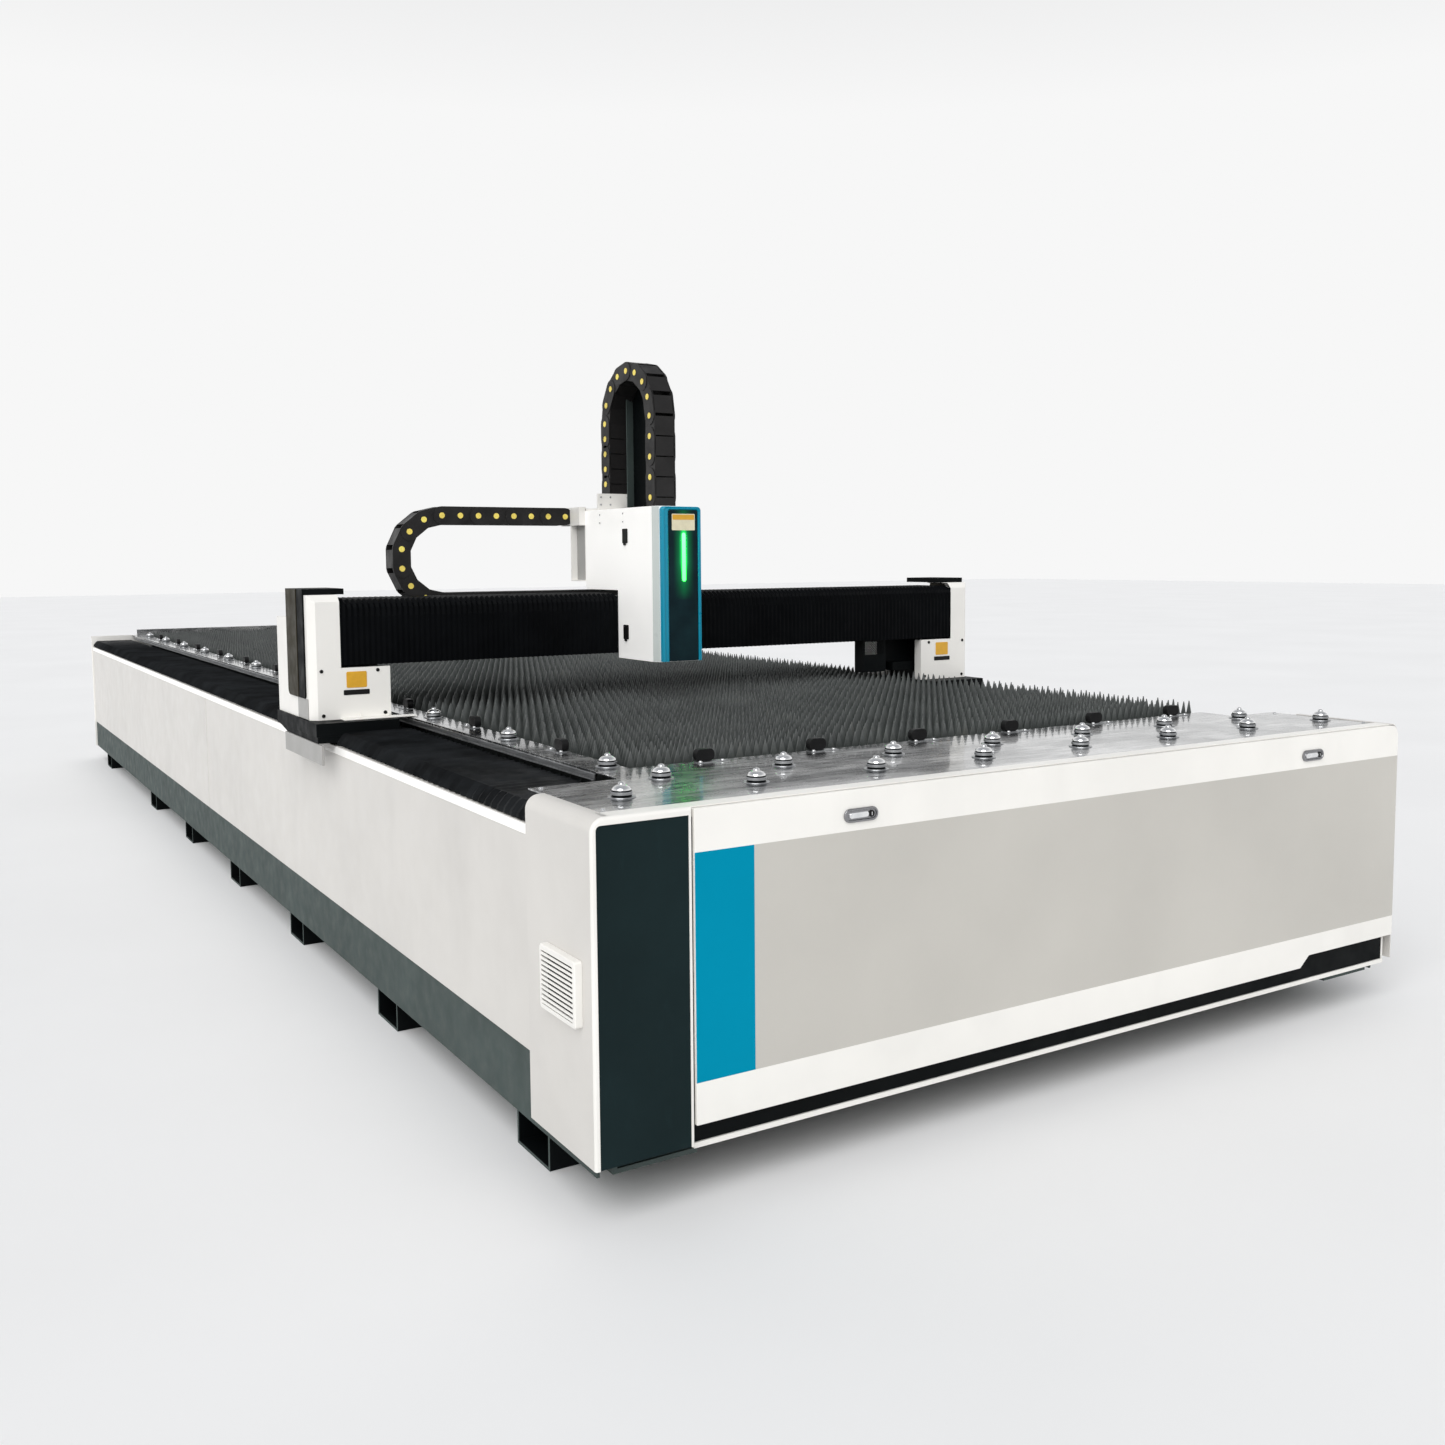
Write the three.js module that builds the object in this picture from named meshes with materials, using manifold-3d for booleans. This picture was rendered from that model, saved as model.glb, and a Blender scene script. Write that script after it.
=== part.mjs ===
// An open-bed sheet-cutting gantry machine: a long welded bed with a slat table, a gantry that runs along
// it, a carriage that runs across the gantry, and a cutting head that drops to the sheet.
// Units are millimetres. The origin is on the floor at the middle of the footprint, +X is the machine's
// right seen from its front door, +Y runs from the front door to the rear, +Z is up.
import * as THREE from "three";
import { mergeVertices } from "three/addons/utils/BufferGeometryUtils.js";
import Module from "manifold-3d";

const wasm = await Module();
wasm.setup();

// Driving dimensions of the machine.
const LENGTH = 8700;
const GANTRY_WIDTH = 3016;
const BODY_WIDTH = 2900;
const TABLE_HEIGHT = 930;
const TOUCH = 0.4; // gap between pieces that rest on each other
const SHEET = 4; // thickness of the folded covers
const SKIN = 3; // thickness of the light covers on the gantry and the head

// Bed. Every y below is measured from the face of the front door.
const HALF = BODY_WIDTH / 2;
const LATCH_PROUD = 6;
const REAR = LENGTH - LATCH_PROUD;
const SKIRT_BOTTOM = 100;
const PANEL_BOTTOM = 284;
const PANEL_TOP = 850;
const CABINET_DEPTH = 360;
const CHEEK = 1468;
const CHEEK_BOTTOM = 143;
const CHEEK_ROUND = 35;
const FOOT_HEIGHT = 99;
const FOOT_LENGTH = 200;
const FOOT_WALL = 8;
const FOOT_PLACES = [450, 1620, 2770, 3895, 5040, 6190, 8140];
const FRAME_TOP = 780;
const RAIL_TOP = 805;
const BELLOWS_TOP = 895;
const BELLOWS_BOTTOM = 853.5;
const PLATE_TOP = 928;
const TIP_HEIGHT = 968;
const SLAT_FRONT = 604;
const SLAT_PITCH = 70;
const SLAT_LEFT = -1058;
const SLAT_RIGHT = 1212;
const STRIP_INNER = -1065;
const STRIP_OUTER = -1165;

// Front door.
const DOOR_LEFT = -1213;
const DOOR_TOP = 926;
const DOOR_BOTTOM = 192;
const DOOR_STEP_BOTTOM = 227;
const DOOR_THICK = 12;
const RIM_LEFT = -1456;
const RIM_TOP = 18;
const VENT_FRONT = 58;
const LATCH_PLACES = [-748, 1002];
const LATCH_HEIGHT = 864;

// Gantry.
const GANTRY_HALF = GANTRY_WIDTH / 2;
const COVER_OUT = GANTRY_HALF - 8;
const GANTRY_FRONT = 2153;
const SLAB_FRONT = 2062;
const COVER_REAR = 2320;
const GANTRY_REAR = 2610;
const SLAB_BOTTOM = 862;
const SLAB_TOP = 930;
const BEAM_FRONT = 2190;
const BEAM_REAR = 2400;
const BEAM_BOTTOM = 1118;
const BEAM_TOP = 1338;
const COVER_TOP = 1367;
const CHAMFER = 24;
const CAP_TOP = 1388;
const STEM = 108;
const FOOT_COVER = 282;
const SHOULDER = 1111;
const RAIL_X = 1360;
const PINION_X = 1290;
const PINION_Y = 2540;
const PINION_RADIUS = 31;

// Head and its carriage, at their place in the rest pose.
const HEAD_X = -207;
const HEAD_HALF = 100;
const HEAD_FRONT = 1866;
const HEAD_NOSE = 1838;
const HEAD_REAR = 2434;
const HEAD_BOTTOM = 1100;
const HEAD_SHOULDER = 1364;
const HEAD_TOP = 1680;
const TRIM_LEFT = -290;
const TRIM_RIGHT = -124;
const PANE_LEFT = -262;
const PANE_RIGHT = -136;
const PANE_TOP = 1665;

// Drag chains.
const LINK = 72;
const Z_CHAIN_X = -197;
const Z_CHAIN_WIDTH = 96;
const Z_CHAIN_RADIUS = 189;
const Z_CHAIN_MIDDLE = 2183;
const Z_CHAIN_TOP = 2251;
const X_CHAIN_FRONT = 2520;
const X_CHAIN_REAR = 2610;
const X_CHAIN_RADIUS = 168;
const X_CHAIN_UPPER = 1659;
const X_BEND = -880;
const BRACKET_X = -334;

// Materials.
const paint = (color, roughness = 0.45, metalness = 0.0) =>
  new THREE.MeshStandardMaterial({ color, roughness, metalness });
const WHITE = paint(0xece9e4);
const LIGHT_GREY = paint(0xc6c4be);
const DARK = paint(0x1c282a, 0.5);
const GREEN_GREY = paint(0x4b5555, 0.6);
const BLACK = paint(0x101214, 0.7);
const BLUE = paint(0x0a8fb2, 0.35);
const STEEL = paint(0x9a9da0, 0.35, 1.0);
const SLAT = paint(0x3c4242, 0.7, 0.6);
const ALUMINIUM = paint(0xb9bbbd, 0.2, 1.0);
const CHROME = paint(0xd5d5d5, 0.12, 1.0);
const GLASS = paint(0x04140f, 0.1);

// A closed box between two corners.
function box(x0, x1, y0, y1, z0, z1) {
  const g = new THREE.BoxGeometry(x1 - x0, y1 - y0, z1 - z0);
  return g.translate((x0 + x1) / 2, (y0 + y1) / 2, (z0 + z1) / 2);
}

function outline(points) {
  return new THREE.Shape(points.map(([a, b]) => new THREE.Vector2(a, b)));
}

// An outline in X and Z, drawn out along Y.
function alongY(shape, y0, y1) {
  const g = new THREE.ExtrudeGeometry(shape, { depth: y1 - y0, bevelEnabled: false, curveSegments: 6 });
  return g.rotateX(Math.PI / 2).translate(0, y1, 0);
}

// An outline in Y and Z, drawn out along X.
function alongX(shape, x0, x1) {
  const g = new THREE.ExtrudeGeometry(shape, { depth: x1 - x0, bevelEnabled: false, curveSegments: 12 });
  const m = new THREE.Matrix4().set(0, 0, 1, x0, 1, 0, 0, 0, 0, 1, 0, 0, 0, 0, 0, 1);
  return g.applyMatrix4(m);
}

// An outline in X and Y, drawn up along Z.
function alongZ(shape, z0, z1) {
  const g = new THREE.ExtrudeGeometry(shape, { depth: z1 - z0, bevelEnabled: false, curveSegments: 8 });
  return g.translate(0, 0, z0);
}

// A cylinder with its axis along Z.
function post(x, y, radius, z0, z1, sides = 24) {
  const g = new THREE.CylinderGeometry(radius, radius, z1 - z0, sides);
  return g.rotateX(Math.PI / 2).translate(x, y, (z0 + z1) / 2);
}

function solid(geometry) {
  const g = new THREE.BufferGeometry();
  const flat = geometry.index ? geometry.toNonIndexed() : geometry;
  g.setAttribute("position", flat.getAttribute("position"));
  const merged = mergeVertices(g, 1e-3);
  const vertProperties = merged.attributes.position.array;
  const triVerts = new Uint32Array(merged.index.array);
  return new wasm.Manifold(new wasm.Mesh({ numProp: 3, vertProperties, triVerts }));
}

function geometryOf(manifold) {
  const m = manifold.getMesh();
  const g = new THREE.BufferGeometry();
  g.setAttribute("position", new THREE.BufferAttribute(new Float32Array(m.vertProperties), 3));
  g.setIndex(new THREE.BufferAttribute(new Uint32Array(m.triVerts), 1));
  return g;
}

function join(...shapes) {
  return geometryOf(shapes.map(solid).reduce((a, b) => a.add(b)));
}

function cut(base, ...tools) {
  return geometryOf(tools.map(solid).reduce((a, b) => a.subtract(b), solid(base)));
}

const machine = new THREE.Group();
machine.position.y = LATCH_PROUD - LENGTH / 2;

function place(name, geometry, material) {
  const mesh = new THREE.Mesh(geometry, material);
  mesh.name = name;
  machine.add(mesh);
}

// The same piece on the left (side -1) or on the right (side +1); it is drawn on the right.
function placeSided(name, side, geometry, material) {
  if (side > 0) return place(name + "_right", geometry, material);
  const mirrored = solid(geometry.clone()).mirror([1, 0, 0]);
  return place(name + "_left", geometryOf(mirrored), material);
}

const SIDES = [-1, 1];

// One long box beam of the bed with the plate skirt that is welded under the side panel.
function bedFrame(side) {
  const beam = cut(
    box(1180, 1400, 60, REAR - 60, SKIRT_BOTTOM + TOUCH, FRAME_TOP),
    box(1192, 1388, 50, REAR - 50, SKIRT_BOTTOM + 12, FRAME_TOP - 12),
  );
  const skirt = box(1430, 1438, CABINET_DEPTH + TOUCH, REAR - 21, SKIRT_BOTTOM, PANEL_BOTTOM - TOUCH);
  const toe = box(1430, 1438, 64, CABINET_DEPTH + 1, SKIRT_BOTTOM, CHEEK_BOTTOM - 1);
  const shelf = box(1395, 1434, CABINET_DEPTH + TOUCH, REAR - 60, 240, 252);
  placeSided("bed_frame", side, join(beam, skirt, toe, shelf), GREEN_GREY);
}

// A hollow foot tube that crosses under the bed, open at both ends.
function footTube(y, number) {
  const half = FOOT_LENGTH / 2;
  const tube = cut(
    box(-1425, 1425, y - half, y + half, 0, FOOT_HEIGHT),
    box(-1430, 1430, y - half + FOOT_WALL, y + half - FOOT_WALL, FOOT_WALL, FOOT_HEIGHT - FOOT_WALL),
  );
  place("foot_tube_" + number, tube, BLACK);
}

// A folded side panel: a tall sheet with an inward flange at its top.
function sidePanel(side) {
  const outer = HALF - 8;
  const profile = [
    [outer, PANEL_BOTTOM],
    [outer, PANEL_TOP],
    [outer - 40, PANEL_TOP],
    [outer - 40, PANEL_TOP - SHEET],
    [outer - SHEET, PANEL_TOP - SHEET],
    [outer - SHEET, PANEL_BOTTOM],
  ];
  const sheet = alongY(outline(profile), CABINET_DEPTH + TOUCH, REAR - 20 - TOUCH);
  placeSided("side_panel", side, sheet, WHITE);
}

// The cheek of the front cabinet, with a round top edge.
function frontCheek(side) {
  const round = CHEEK_ROUND;
  const shape = new THREE.Shape();
  shape.moveTo(CHEEK, CHEEK_BOTTOM);
  shape.lineTo(CHEEK, TABLE_HEIGHT - round);
  shape.absarc(CHEEK - round, TABLE_HEIGHT - round, round, 0, Math.PI / 2, false);
  shape.lineTo(CHEEK - 50, TABLE_HEIGHT);
  shape.lineTo(CHEEK - 50, TABLE_HEIGHT - SHEET);
  shape.lineTo(CHEEK - round, TABLE_HEIGHT - SHEET);
  shape.absarc(CHEEK - round, TABLE_HEIGHT - round, round - SHEET, Math.PI / 2, 0, true);
  shape.lineTo(CHEEK - SHEET, CHEEK_BOTTOM);
  shape.closePath();
  placeSided("front_cheek", side, alongY(shape, DOOR_THICK + 2, CABINET_DEPTH), WHITE);
}

// The top frame of the front cabinet, with the rim that runs round the dark corner panel.
function frontTopFrame() {
  const inner = CHEEK - 50 - TOUCH;
  const right = DOOR_LEFT - 4;
  const frame = box(-inner, inner, DOOR_THICK + 2, 62, TABLE_HEIGHT - 25, TABLE_HEIGHT);
  const lip = box(-inner, right, SHEET, DOOR_THICK + 3, TABLE_HEIGHT - RIM_TOP, TABLE_HEIGHT);
  const rim = new THREE.Shape();
  rim.moveTo(-CHEEK, CHEEK_BOTTOM);
  rim.lineTo(RIM_LEFT, CHEEK_BOTTOM);
  rim.lineTo(RIM_LEFT, TABLE_HEIGHT - RIM_TOP);
  rim.lineTo(right - 7, TABLE_HEIGHT - RIM_TOP);
  rim.lineTo(right - 7, CHEEK_BOTTOM);
  rim.lineTo(right, CHEEK_BOTTOM);
  rim.lineTo(right, TABLE_HEIGHT);
  rim.lineTo(CHEEK_ROUND - CHEEK, TABLE_HEIGHT);
  rim.absarc(CHEEK_ROUND - CHEEK, TABLE_HEIGHT - CHEEK_ROUND, CHEEK_ROUND, Math.PI / 2, Math.PI, false);
  rim.closePath();
  place("front_top_frame", join(frame, lip, alongY(rim, SHEET, DOOR_THICK + 2 - TOUCH)), WHITE);
}

function frontCornerPanel() {
  const x0 = RIM_LEFT + TOUCH;
  const x1 = DOOR_LEFT - 11 - TOUCH;
  place("front_corner_panel", box(x0, x1, 7, 13, CHEEK_BOTTOM, TABLE_HEIGHT - RIM_TOP - TOUCH), DARK);
}

function frontPlinth() {
  place("front_plinth", box(DOOR_LEFT + 3, 1428, 24, 60, 144, 246), BLACK);
}

// The drop-down front door: its bottom edge steps up near the right end.
function frontDoor() {
  const round = 35;
  const shape = new THREE.Shape();
  shape.moveTo(DOOR_LEFT, DOOR_BOTTOM);
  shape.lineTo(972, DOOR_BOTTOM);
  shape.lineTo(1014, DOOR_STEP_BOTTOM);
  shape.lineTo(HALF, DOOR_STEP_BOTTOM);
  shape.lineTo(HALF, DOOR_TOP - round);
  shape.absarc(HALF - round, DOOR_TOP - round, round, 0, Math.PI / 2, false);
  shape.lineTo(DOOR_LEFT, DOOR_TOP);
  shape.closePath();
  place("front_door", alongY(shape, 0, DOOR_THICK), LIGHT_GREY);
}

// A pill-shaped turn latch on the face of the door.
function frontLatch(x, side) {
  const r = 17;
  const half = 34;
  const shape = new THREE.Shape();
  shape.moveTo(x - half, LATCH_HEIGHT - r);
  shape.lineTo(x + half, LATCH_HEIGHT - r);
  shape.absarc(x + half, LATCH_HEIGHT, r, -Math.PI / 2, Math.PI / 2, false);
  shape.lineTo(x - half, LATCH_HEIGHT + r);
  shape.absarc(x - half, LATCH_HEIGHT, r, Math.PI / 2, (3 * Math.PI) / 2, false);
  place("front_latch_" + side, alongY(shape, -LATCH_PROUD, -TOUCH), CHROME);
}

function rearPanel() {
  place("rear_panel", box(-HALF, HALF, REAR - 20, REAR, SKIRT_BOTTOM, TABLE_HEIGHT), WHITE);
}

// The louvred vent box on the left cheek.
function ventLeft() {
  const x = -CHEEK;
  const y1 = VENT_FRONT + 190;
  const frame = cut(
    box(x - 20, x - TOUCH, VENT_FRONT, y1, 452, 604),
    box(x - 25, x - 5, VENT_FRONT + 9, y1 - 9, 464, 590),
  );
  const slats = [...Array(11).keys()].map((i) => {
    const z = 465 + i * 11.4;
    return box(x - 18, x - 4, VENT_FRONT + 7, y1 - 7, z, z + 6);
  });
  place("vent_left", join(frame, ...slats), WHITE);
}

// The bright plate that carries the sheet on to the slats at the front.
function endPlateFront() {
  const side = CHEEK - 50 - TOUCH;
  const left = STRIP_OUTER - 4;
  const right = SLAT_RIGHT + 4;
  const points = [
    [-side, 62 + TOUCH],
    [side, 62 + TOUCH],
    [side, 459],
    [right, 459],
    [right, SLAT_FRONT - 4],
    [left, SLAT_FRONT - 4],
    [left, 459],
    [-side, 459],
  ];
  place("end_plate_front", alongZ(outline(points), PLATE_TOP - SHEET, PLATE_TOP), ALUMINIUM);
}

// The rear plate, with the upright fence that stops the sheet.
function endPlateRear() {
  const plate = box(STRIP_OUTER, SLAT_RIGHT, REAR - 150, REAR - 21, PLATE_TOP - SHEET, PLATE_TOP);
  const fence = box(STRIP_OUTER + 20, SLAT_RIGHT - 20, REAR - 130, REAR - 124, PLATE_TOP - 2, 975);
  place("end_plate_rear", join(plate, fence), ALUMINIUM);
}

// The bright strip along the left of the slats, with a folded outer lip.
function sideStrip() {
  const front = SLAT_FRONT - 3;
  const top = box(STRIP_OUTER, STRIP_INNER, front, REAR - 151, PLATE_TOP - SHEET, PLATE_TOP);
  const lip = box(STRIP_OUTER, STRIP_OUTER + SHEET, front, REAR - 151, 912, PLATE_TOP);
  place("side_strip_left", join(top, lip), ALUMINIUM);
}

// Half of the slat table: slats on edge, held by a rail at each side.
function slatTable(number, y0, y1) {
  const pieces = [SLAT_LEFT + 20, SLAT_RIGHT - 20].map((x) => box(x - 10, x + 10, y0, y1, 815, 880));
  for (let y = y0 + SLAT_PITCH / 2; y < y1; y += SLAT_PITCH) {
    pieces.push(box(SLAT_LEFT, SLAT_RIGHT, y - 2, y + 2, 840, TIP_HEIGHT));
  }
  place("slat_table_" + number, join(...pieces), SLAT);
}

// A linear rail and its gear rack on their base strip.
function yRail(side) {
  const y0 = 400;
  const y1 = REAR - 200;
  const base = box(1195, 1378, y0, y1, FRAME_TOP + TOUCH, FRAME_TOP + 6);
  const rail = box(RAIL_X - 15, RAIL_X + 15, y0, y1, FRAME_TOP + 5, RAIL_TOP);
  const rack = box(1228, PINION_X - PINION_RADIUS - 1, y0, y1, FRAME_TOP + 5, RAIL_TOP + 5);
  placeSided("y_rail", side, join(base, rail, rack), STEEL);
}

// A pleated cover over the rail; it folds up and draws out as the gantry passes.
function sideBellows(name, side, y0, y1) {
  const inner = side > 0 ? SLAT_RIGHT + 6 : 8 - STRIP_OUTER;
  const profile = [
    [inner, BELLOWS_BOTTOM],
    [1440, BELLOWS_BOTTOM],
    [1412, BELLOWS_TOP],
    [inner, BELLOWS_TOP],
  ];
  placeSided(name, side, alongY(outline(profile), y0, y1), BLACK);
}

// The gantry beam, with the tray behind it that carries the chain.
function gantryBeam() {
  const end = COVER_OUT - 10;
  const tube = cut(
    box(-end, end, BEAM_FRONT, BEAM_REAR, BEAM_BOTTOM, BEAM_TOP),
    box(-end - 5, end + 5, BEAM_FRONT + 10, BEAM_REAR - 10, BEAM_BOTTOM + 10, BEAM_TOP - 10),
  );
  const tray = box(-1210, 1210, BEAM_REAR - 5, X_CHAIN_REAR + 6, 1276, 1282);
  place("gantry_beam", join(tube, tray), DARK);
}

// The foot of the gantry: slab, column, two guide blocks on the rail and a guard outside the side panel.
function gantryFoot(side) {
  const slab = cut(
    box(COVER_OUT - FOOT_COVER, GANTRY_HALF, SLAB_FRONT, GANTRY_REAR, SLAB_BOTTOM, SLAB_TOP),
    post(PINION_X, PINION_Y, 20, SLAB_BOTTOM - 5, SLAB_TOP + 5),
  );
  const column = box(1240, 1385, 2230, BEAM_REAR - 2, SLAB_TOP - 5, BEAM_BOTTOM - TOUCH);
  const blocks = [2100, 2530].map((y) =>
    box(RAIL_X - 30, RAIL_X + 30, y, y + 60, RAIL_TOP + TOUCH, SLAB_BOTTOM + 5),
  );
  const guard = box(GANTRY_HALF - 8, GANTRY_HALF, 2000, 2500, 795, SLAB_BOTTOM + 5);
  placeSided("gantry_foot", side, join(slab, column, ...blocks, guard), BLACK);
}

// An outline drawn back from the face of the end cover, with its top and its outer edge chamfered.
function coverBlock(points, inset, y1) {
  const k = Math.SQRT1_2;
  const y0 = GANTRY_FRONT;
  const side = k * (y0 - COVER_OUT + CHAMFER) + inset;
  const top = k * (y0 - COVER_TOP + CHAMFER) + inset;
  const block = solid(alongY(outline(points), y0 + inset, y1));
  return block.trimByPlane([-k, k, 0], side).trimByPlane([0, k, -k], top);
}

// The white L-shaped end cover in front of the gantry's foot, open behind and below.
function gantryCover(side) {
  const inner = COVER_OUT - STEM;
  const foot = COVER_OUT - FOOT_COVER;
  const bottom = SLAB_TOP + TOUCH;
  const face = [
    [foot, bottom],
    [COVER_OUT, bottom],
    [COVER_OUT, COVER_TOP],
    [inner, COVER_TOP],
    [inner, SHOULDER],
    [foot, SHOULDER],
  ];
  const hollow = [
    [foot + SKIN, bottom - 5],
    [COVER_OUT - SKIN, bottom - 5],
    [COVER_OUT - SKIN, COVER_TOP - SKIN],
    [inner - 5, COVER_TOP - SKIN],
    [inner - 5, SHOULDER],
    [inner + SKIN, SHOULDER],
    [inner + SKIN, SHOULDER - SKIN],
    [foot + SKIN, SHOULDER - SKIN],
  ];
  const shell = coverBlock(face, 0, COVER_REAR).subtract(coverBlock(hollow, SKIN, COVER_REAR + 5));
  const y0 = GANTRY_FRONT;
  const short = solid(box(foot - 5, inner - 1, y0 + 45, COVER_REAR + 5, bottom - 5, SHOULDER + 5));
  const tray = solid(box(foot - 79, COVER_OUT - 100, y0 - 50, y0 + SKIN, bottom, bottom + SKIN));
  const open = shell.subtract(short);
  placeSided("gantry_cover", side, geometryOf(side < 0 ? open.add(tray) : open), WHITE);
}

// The dark cap that runs up the outer side of the gantry and folds over its top.
function gantryCap(side) {
  const strip = box(COVER_OUT + TOUCH, GANTRY_HALF, 2207, 2432, 1005, CAP_TOP);
  const fold = box(COVER_OUT - 140, GANTRY_HALF, 2207, 2432, COVER_TOP + TOUCH, CAP_TOP);
  placeSided("gantry_cap", side, join(strip, fold), DARK);
}

// The white box over the drive motor behind the beam, open at its bottom; its side reaches the end cover.
function motorCover(side) {
  const inner = COVER_OUT - FOOT_COVER;
  const bottom = SLAB_TOP + TOUCH;
  const front = BEAM_REAR + 4;
  const top = 1282;
  const shell = cut(
    box(inner, COVER_OUT, front, GANTRY_REAR - 3, bottom, top),
    box(inner + SKIN, COVER_OUT - SKIN, front + SKIN, GANTRY_REAR - 3 - SKIN, bottom - 5, top - SKIN),
  );
  const wing = box(COVER_OUT - SKIN, COVER_OUT, COVER_REAR + TOUCH, front + SKIN, bottom, top);
  placeSided("motor_cover", side, join(shell, wing), WHITE);
}

// The servo motor and gearbox that stand on the slab over the pinion.
function yMotor(side) {
  const flange = box(PINION_X - 45, PINION_X + 45, PINION_Y - 45, PINION_Y + 45, 960, 1040);
  const legs = SIDES.map((s) => {
    const x = PINION_X + s * 38;
    return box(x - 7, x + 7, PINION_Y - 45, PINION_Y + 45, SLAB_TOP + TOUCH, 965);
  });
  const motor = post(PINION_X, PINION_Y, 40, 1035, 1210, 16);
  placeSided("y_motor", side, join(flange, ...legs, motor), BLACK);
}

// A spur pinion and its shaft, which hang through the slab beside the rack.
function yPinion(side) {
  const teeth = 20;
  const points = [...Array(teeth * 4).keys()].map((i) => {
    const a = ((i + 0.5) * Math.PI) / (teeth * 2);
    const r = i % 4 < 2 ? PINION_RADIUS : PINION_RADIUS - 5;
    return [PINION_X + r * Math.cos(a), PINION_Y + r * Math.sin(a)];
  });
  const gear = alongZ(outline(points), FRAME_TOP + 8, RAIL_TOP + 7);
  const shaft = post(PINION_X, PINION_Y, 12, RAIL_TOP + 2, 950);
  placeSided("y_pinion", side, join(gear, shaft), STEEL);
}

// The two linear rails and the rack of the cross axis, on their base plate on the face of the beam.
function xRail() {
  const end = COVER_OUT - STEM - 10;
  const base = box(-end, end, BEAM_FRONT - 8, BEAM_FRONT - TOUCH, 1126, 1330);
  const rails = [1145, 1285].map((z) => box(-end, end, BEAM_FRONT - 20, BEAM_FRONT - 6, z, z + 26));
  const rack = box(-end, end, BEAM_FRONT - 18, BEAM_FRONT - 6, 1215, 1240);
  place("x_rail", join(base, ...rails, rack), STEEL);
}

// A pleated cover over the front and the top of the beam, beside the head.
function beamBellows(name, x0, x1) {
  const profile = [
    [GANTRY_FRONT + 1, BEAM_BOTTOM],
    [GANTRY_FRONT + 15, BEAM_BOTTOM],
    [GANTRY_FRONT + 15, BEAM_TOP + 2],
    [BEAM_REAR, BEAM_TOP + 2],
    [BEAM_REAR, 1353],
    [GANTRY_FRONT + 1, 1353],
  ];
  place(name, alongX(outline(profile), x0, x1), BLACK);
}

// The three stretches of the cross-axis drag chain: upper run, bend and lower run.
function xChain() {
  const half = LINK / 2;
  const middle = X_CHAIN_UPPER - X_CHAIN_RADIUS;
  const lower = middle - X_CHAIN_RADIUS;
  const run = (x0, x1, z) => box(x0, x1, X_CHAIN_FRONT, X_CHAIN_REAR, z - half, z + half);
  const bend = new THREE.Shape();
  bend.absarc(X_BEND, middle, X_CHAIN_RADIUS + half, Math.PI / 2, (3 * Math.PI) / 2, false);
  bend.absarc(X_BEND, middle, X_CHAIN_RADIUS - half, (3 * Math.PI) / 2, Math.PI / 2, true);
  bend.closePath();
  place("x_chain_upper", run(X_BEND + TOUCH, BRACKET_X - TOUCH, X_CHAIN_UPPER), BLACK);
  place("x_chain_bend", alongY(bend, X_CHAIN_FRONT, X_CHAIN_REAR), BLACK);
  place("x_chain_lower", run(X_BEND + TOUCH, 0, lower), BLACK);
}

// The plate that runs on the cross rails and reaches over the beam.
function carriagePlate() {
  const upright = box(HEAD_X - 80, HEAD_X + 80, 2130, GANTRY_FRONT + 14, 1130, 1385);
  const arm = box(HEAD_X - 70, HEAD_X + 70, 2130, 2425, 1372, 1386);
  place("carriage_plate", join(upright, arm), STEEL);
}

// The white head cover: a deep box over the beam and a tall box in front of it, open below.
function headCover() {
  const x0 = HEAD_X - HEAD_HALF;
  const x1 = HEAD_X + HEAD_HALF;
  const side = [
    [HEAD_FRONT, HEAD_BOTTOM],
    [GANTRY_FRONT - 3, HEAD_BOTTOM],
    [GANTRY_FRONT - 3, HEAD_SHOULDER],
    [HEAD_REAR, HEAD_SHOULDER],
    [HEAD_REAR, HEAD_TOP],
    [HEAD_FRONT, HEAD_TOP],
  ];
  const hollow = [
    [HEAD_FRONT - 1, HEAD_BOTTOM - 5],
    [GANTRY_FRONT + 5, HEAD_BOTTOM - 5],
    [GANTRY_FRONT + 5, HEAD_SHOULDER - 5],
    [HEAD_REAR - SKIN, HEAD_SHOULDER - 5],
    [HEAD_REAR - SKIN, HEAD_TOP - SKIN],
    [HEAD_FRONT - 1, HEAD_TOP - SKIN],
  ];
  const nose = [
    [x0, HEAD_FRONT + 1],
    [x0 + 15, HEAD_NOSE],
    [x1 - 15, HEAD_NOSE],
    [x1, HEAD_FRONT + 1],
  ];
  const noseHollow = [
    [x0 + SKIN, HEAD_FRONT + 2],
    [x0 + SKIN, HEAD_FRONT],
    [x0 + 17, HEAD_NOSE + SKIN],
    [x1 - 17, HEAD_NOSE + SKIN],
    [x1 - SKIN, HEAD_FRONT],
    [x1 - SKIN, HEAD_FRONT + 2],
  ];
  const outer = join(alongX(outline(side), x0, x1), alongZ(outline(nose), HEAD_BOTTOM, HEAD_TOP));
  const chain = Z_CHAIN_MIDDLE - Z_CHAIN_RADIUS;
  const shell = cut(
    outer,
    alongX(outline(hollow), x0 + SKIN, x1 - SKIN),
    alongZ(outline(noseHollow), HEAD_BOTTOM - 5, HEAD_TOP - SKIN),
    box(Z_CHAIN_X - 53, Z_CHAIN_X + 53, chain - 41, chain + 41, HEAD_TOP - 10, HEAD_TOP + 5),
  );
  place("head_cover", shell, WHITE);
}

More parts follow.
